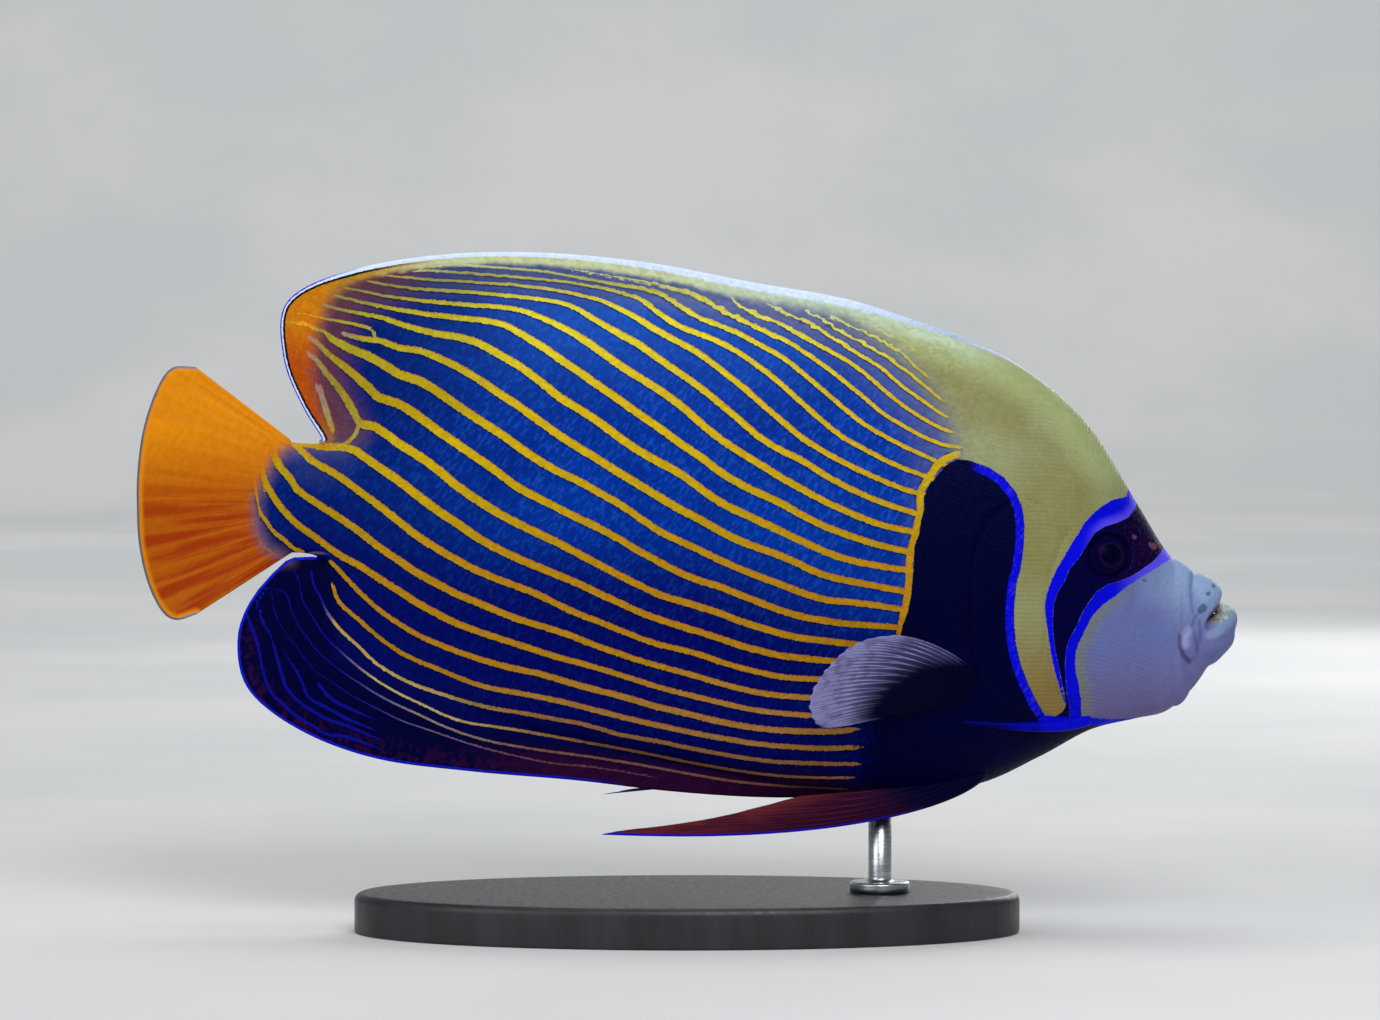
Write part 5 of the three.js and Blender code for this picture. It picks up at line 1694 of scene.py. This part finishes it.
def buildRod():
    s = stand
    low = s["height"] + s["gap"]
    top = float(ribAt(s["rodX"])[1]) + 5.0
    foot = s["footRadius"]
    profile = [[0.01, low], [foot, low], [foot, low + 1.2]]
    profile += roundedCorner(foot - 0.8, low + s["footHeight"] - 0.8, 0.8, 0, math.pi / 2)
    profile += roundedCorner(s["rodRadius"] + 1.2, low + s["footHeight"] + 1.2, 1.2, -math.pi / 2, -math.pi)
    profile += [[s["rodRadius"], top], [0.01, top]]
    return turned("stand_rod_bar", profile, 64, s["rodX"])


# Assembly.

print("stage: camera and light")
view = {"distance": 1700.0, "elevation": 2.2, "aimX": 0.9, "aimZ": 126.9, "frameWidth": 414.0}
camera = newObject("camera", bpy.data.cameras.new("camera"))
tiltUp = math.radians(view["elevation"])
inFront, above = view["distance"] * math.cos(tiltUp), view["distance"] * math.sin(tiltUp)
camera.location = Vector((view["aimX"], -inFront, view["aimZ"] + above)) * metre
camera.rotation_euler = (math.pi / 2 - tiltUp, 0, 0)
camera.data.sensor_width = 36
camera.data.lens = 36 * view["distance"] / view["frameWidth"]
camera.data.clip_start = 0.01
camera.data.clip_end = 50
bpy.context.scene.camera = camera


def areaLight(name, place, aim, size, power):
    data = bpy.data.lights.new(name, "AREA")
    data.shape = "RECTANGLE"
    data.size, data.size_y = size
    data.energy = power
    lamp = newObject(name, data)
    lamp.location = place
    lamp.rotation_euler = (Vector(aim) - Vector(place)).to_track_quat("-Z", "Y").to_euler()


areaLight("key", (0.35, -1.5, 1.1), (0, 0, 0.12), (0.9, 0.7), 19)
areaLight("fill", (-1.0, -1.0, 0.6), (0, 0, 0.0), (1.0, 0.8), 6.5)
areaLight("top", (0.0, 0.2, 1.5), (0, 0, 0.1), (1.2, 0.9), 9)
areaLight("behind", (0.6, 1.3, 0.7), (0, 0, 0.12), (0.8, 0.8), 7)
areaLight("backdrop", (0.0, 1.9, 2.2), (0, 4.1, 0.5), (5.0, 1.6), 56)
bpy.context.scene.view_settings.view_transform = "Standard"
world = bpy.data.worlds.new("studio")
world.use_nodes = True
background = world.node_tree.nodes["Background"]
background.inputs["Color"].default_value = (0.86, 0.89, 0.93, 1)
background.inputs["Strength"].default_value = 0.26
bpy.context.scene.world = world

# the floor curves up into the backdrop: y and z of its section
sweep = [[-5000.0, 0.0], [3000.0, 0.0]]
sweep += [[3000 + 1200 * math.sin(a), 1200 - 1200 * math.cos(a)] for a in np.linspace(0.1, math.pi / 2, 16)]
sweep += [[4200.0, 3000.0]]
floorPoints = np.array([[x, y, z] for x in (-6000.0, 6000.0) for y, z in sweep])
floor = meshPiece("floor", floorPoints, gridFaces(2, len(sweep)))
paleFloor = simpleMaterial("paleFloor", tint(205, 207, 208), tint(214, 215, 215), 3, 0.85, None, 0.0001,
                           Specular_IOR_Level=0.06)
floor.data.materials.append(paleFloor)

print("stage: skin")
skin, rightGrid, leftGrid = buildSkin()
paintMarkings(skin.data)
skin.data.materials.append(fishMaterial("paintedSkin", False))
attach(skin, "root")
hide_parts("head", "trunk", "tail_stalk", "upper_lip", "lower_jaw", "dorsal_fin", "anal_fin",
            "tail_fin", "gill_cover_right", "gill_cover_left")
print("skin", len(skin.data.polygons), "faces")

print("stage: scales")
plate = scalePlate()
tree = scaleTree(fishMaterial("paintedScales", True))
halves = {"front": lambda x: x >= 0, "rear": lambda x: x < 0}
for side, word, grid in ((-1, "right", rightGrid), (1, "left", leftGrid)):
    for where, part in halves.items():
        piece = buildScales("scales_" + word + "_" + where, grid, side, plate, tree, part)
        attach(piece, "root")
        print(piece.name, sum(len(p.vertices) - 2 for p in piece.data.polygons), "triangles")
bpy.data.objects.remove(plate)

print("stage: eyes, teeth, spines")
eyeGlass = eyeMaterial()
spineBlue = spineMaterial()
for side, word in ((-1, "right"), (1, "left")):
    eyeball = buildEye(side)
    eyeball.data.materials.append(eyeGlass)
    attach(eyeball, "root")
    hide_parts("eye_" + word)
    spine = buildCheekSpine(side)
    spine.data.materials.append(spineBlue)
    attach(spine, "root")
    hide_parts("cheek_spine_" + word)
toothPiece = buildTeeth()
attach(toothPiece, "root")

print("stage: paired fins")
pectoralTints = {
    "near": tint(54, 50, 92), "far": tint(112, 110, 158), "ray": tint(150, 148, 190), "base": tint(2, 2, 28),
    "ends": [0.1, 0.84],
}
pelvicTints = {
    "near": tint(40, 6, 32), "far": tint(98, 36, 34), "ray": tint(82, 28, 48), "base": tint(3, 3, 32),
    "lead": tint(16, 16, 190), "ends": [0.2, 0.3],
}
pectoralSkin = finMaterial("pectoralSkin", pectoralTints)
pelvicSkin = finMaterial("pelvicSkin", pelvicTints)
for side, word in ((-1, "right"), (1, "left")):
    upper = pairedFin("pectoral_" + word, pectoral, side, lambda x, z: bodyHalf(x, z) - 1.0)
    upper.data.materials.append(pectoralSkin)
    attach(upper, "root")
    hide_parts("pectoral_fin_" + word)
    lower = pairedFin("pelvic_" + word, pelvic, side, lambda x, z: pelvic["rootY"] + 0 * x)
    lower.data.materials.append(pelvicSkin)
    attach(lower, "root")
    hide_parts("pelvic_fin_" + word)

print("stage: stand")
base = buildBase()
blackLacquer = simpleMaterial("blackLacquer", tint(26, 27, 31), tint(36, 38, 43), 90, 0.42, (1, 1, 6),
                              0.00015, Specular_IOR_Level=0.4)
base.data.materials.append(blackLacquer)
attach(base, "root")
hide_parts("stand_base")
rod = buildRod()
brushedSteel = simpleMaterial("brushedSteel", tint(168, 172, 178), tint(196, 200, 205), 260, 0.3, (6, 6, 0.3),
                              0.00005, Metallic=1.0)
rod.data.materials.append(brushedSteel)
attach(rod, "root")
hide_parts("stand_rod")

print("stage: done")
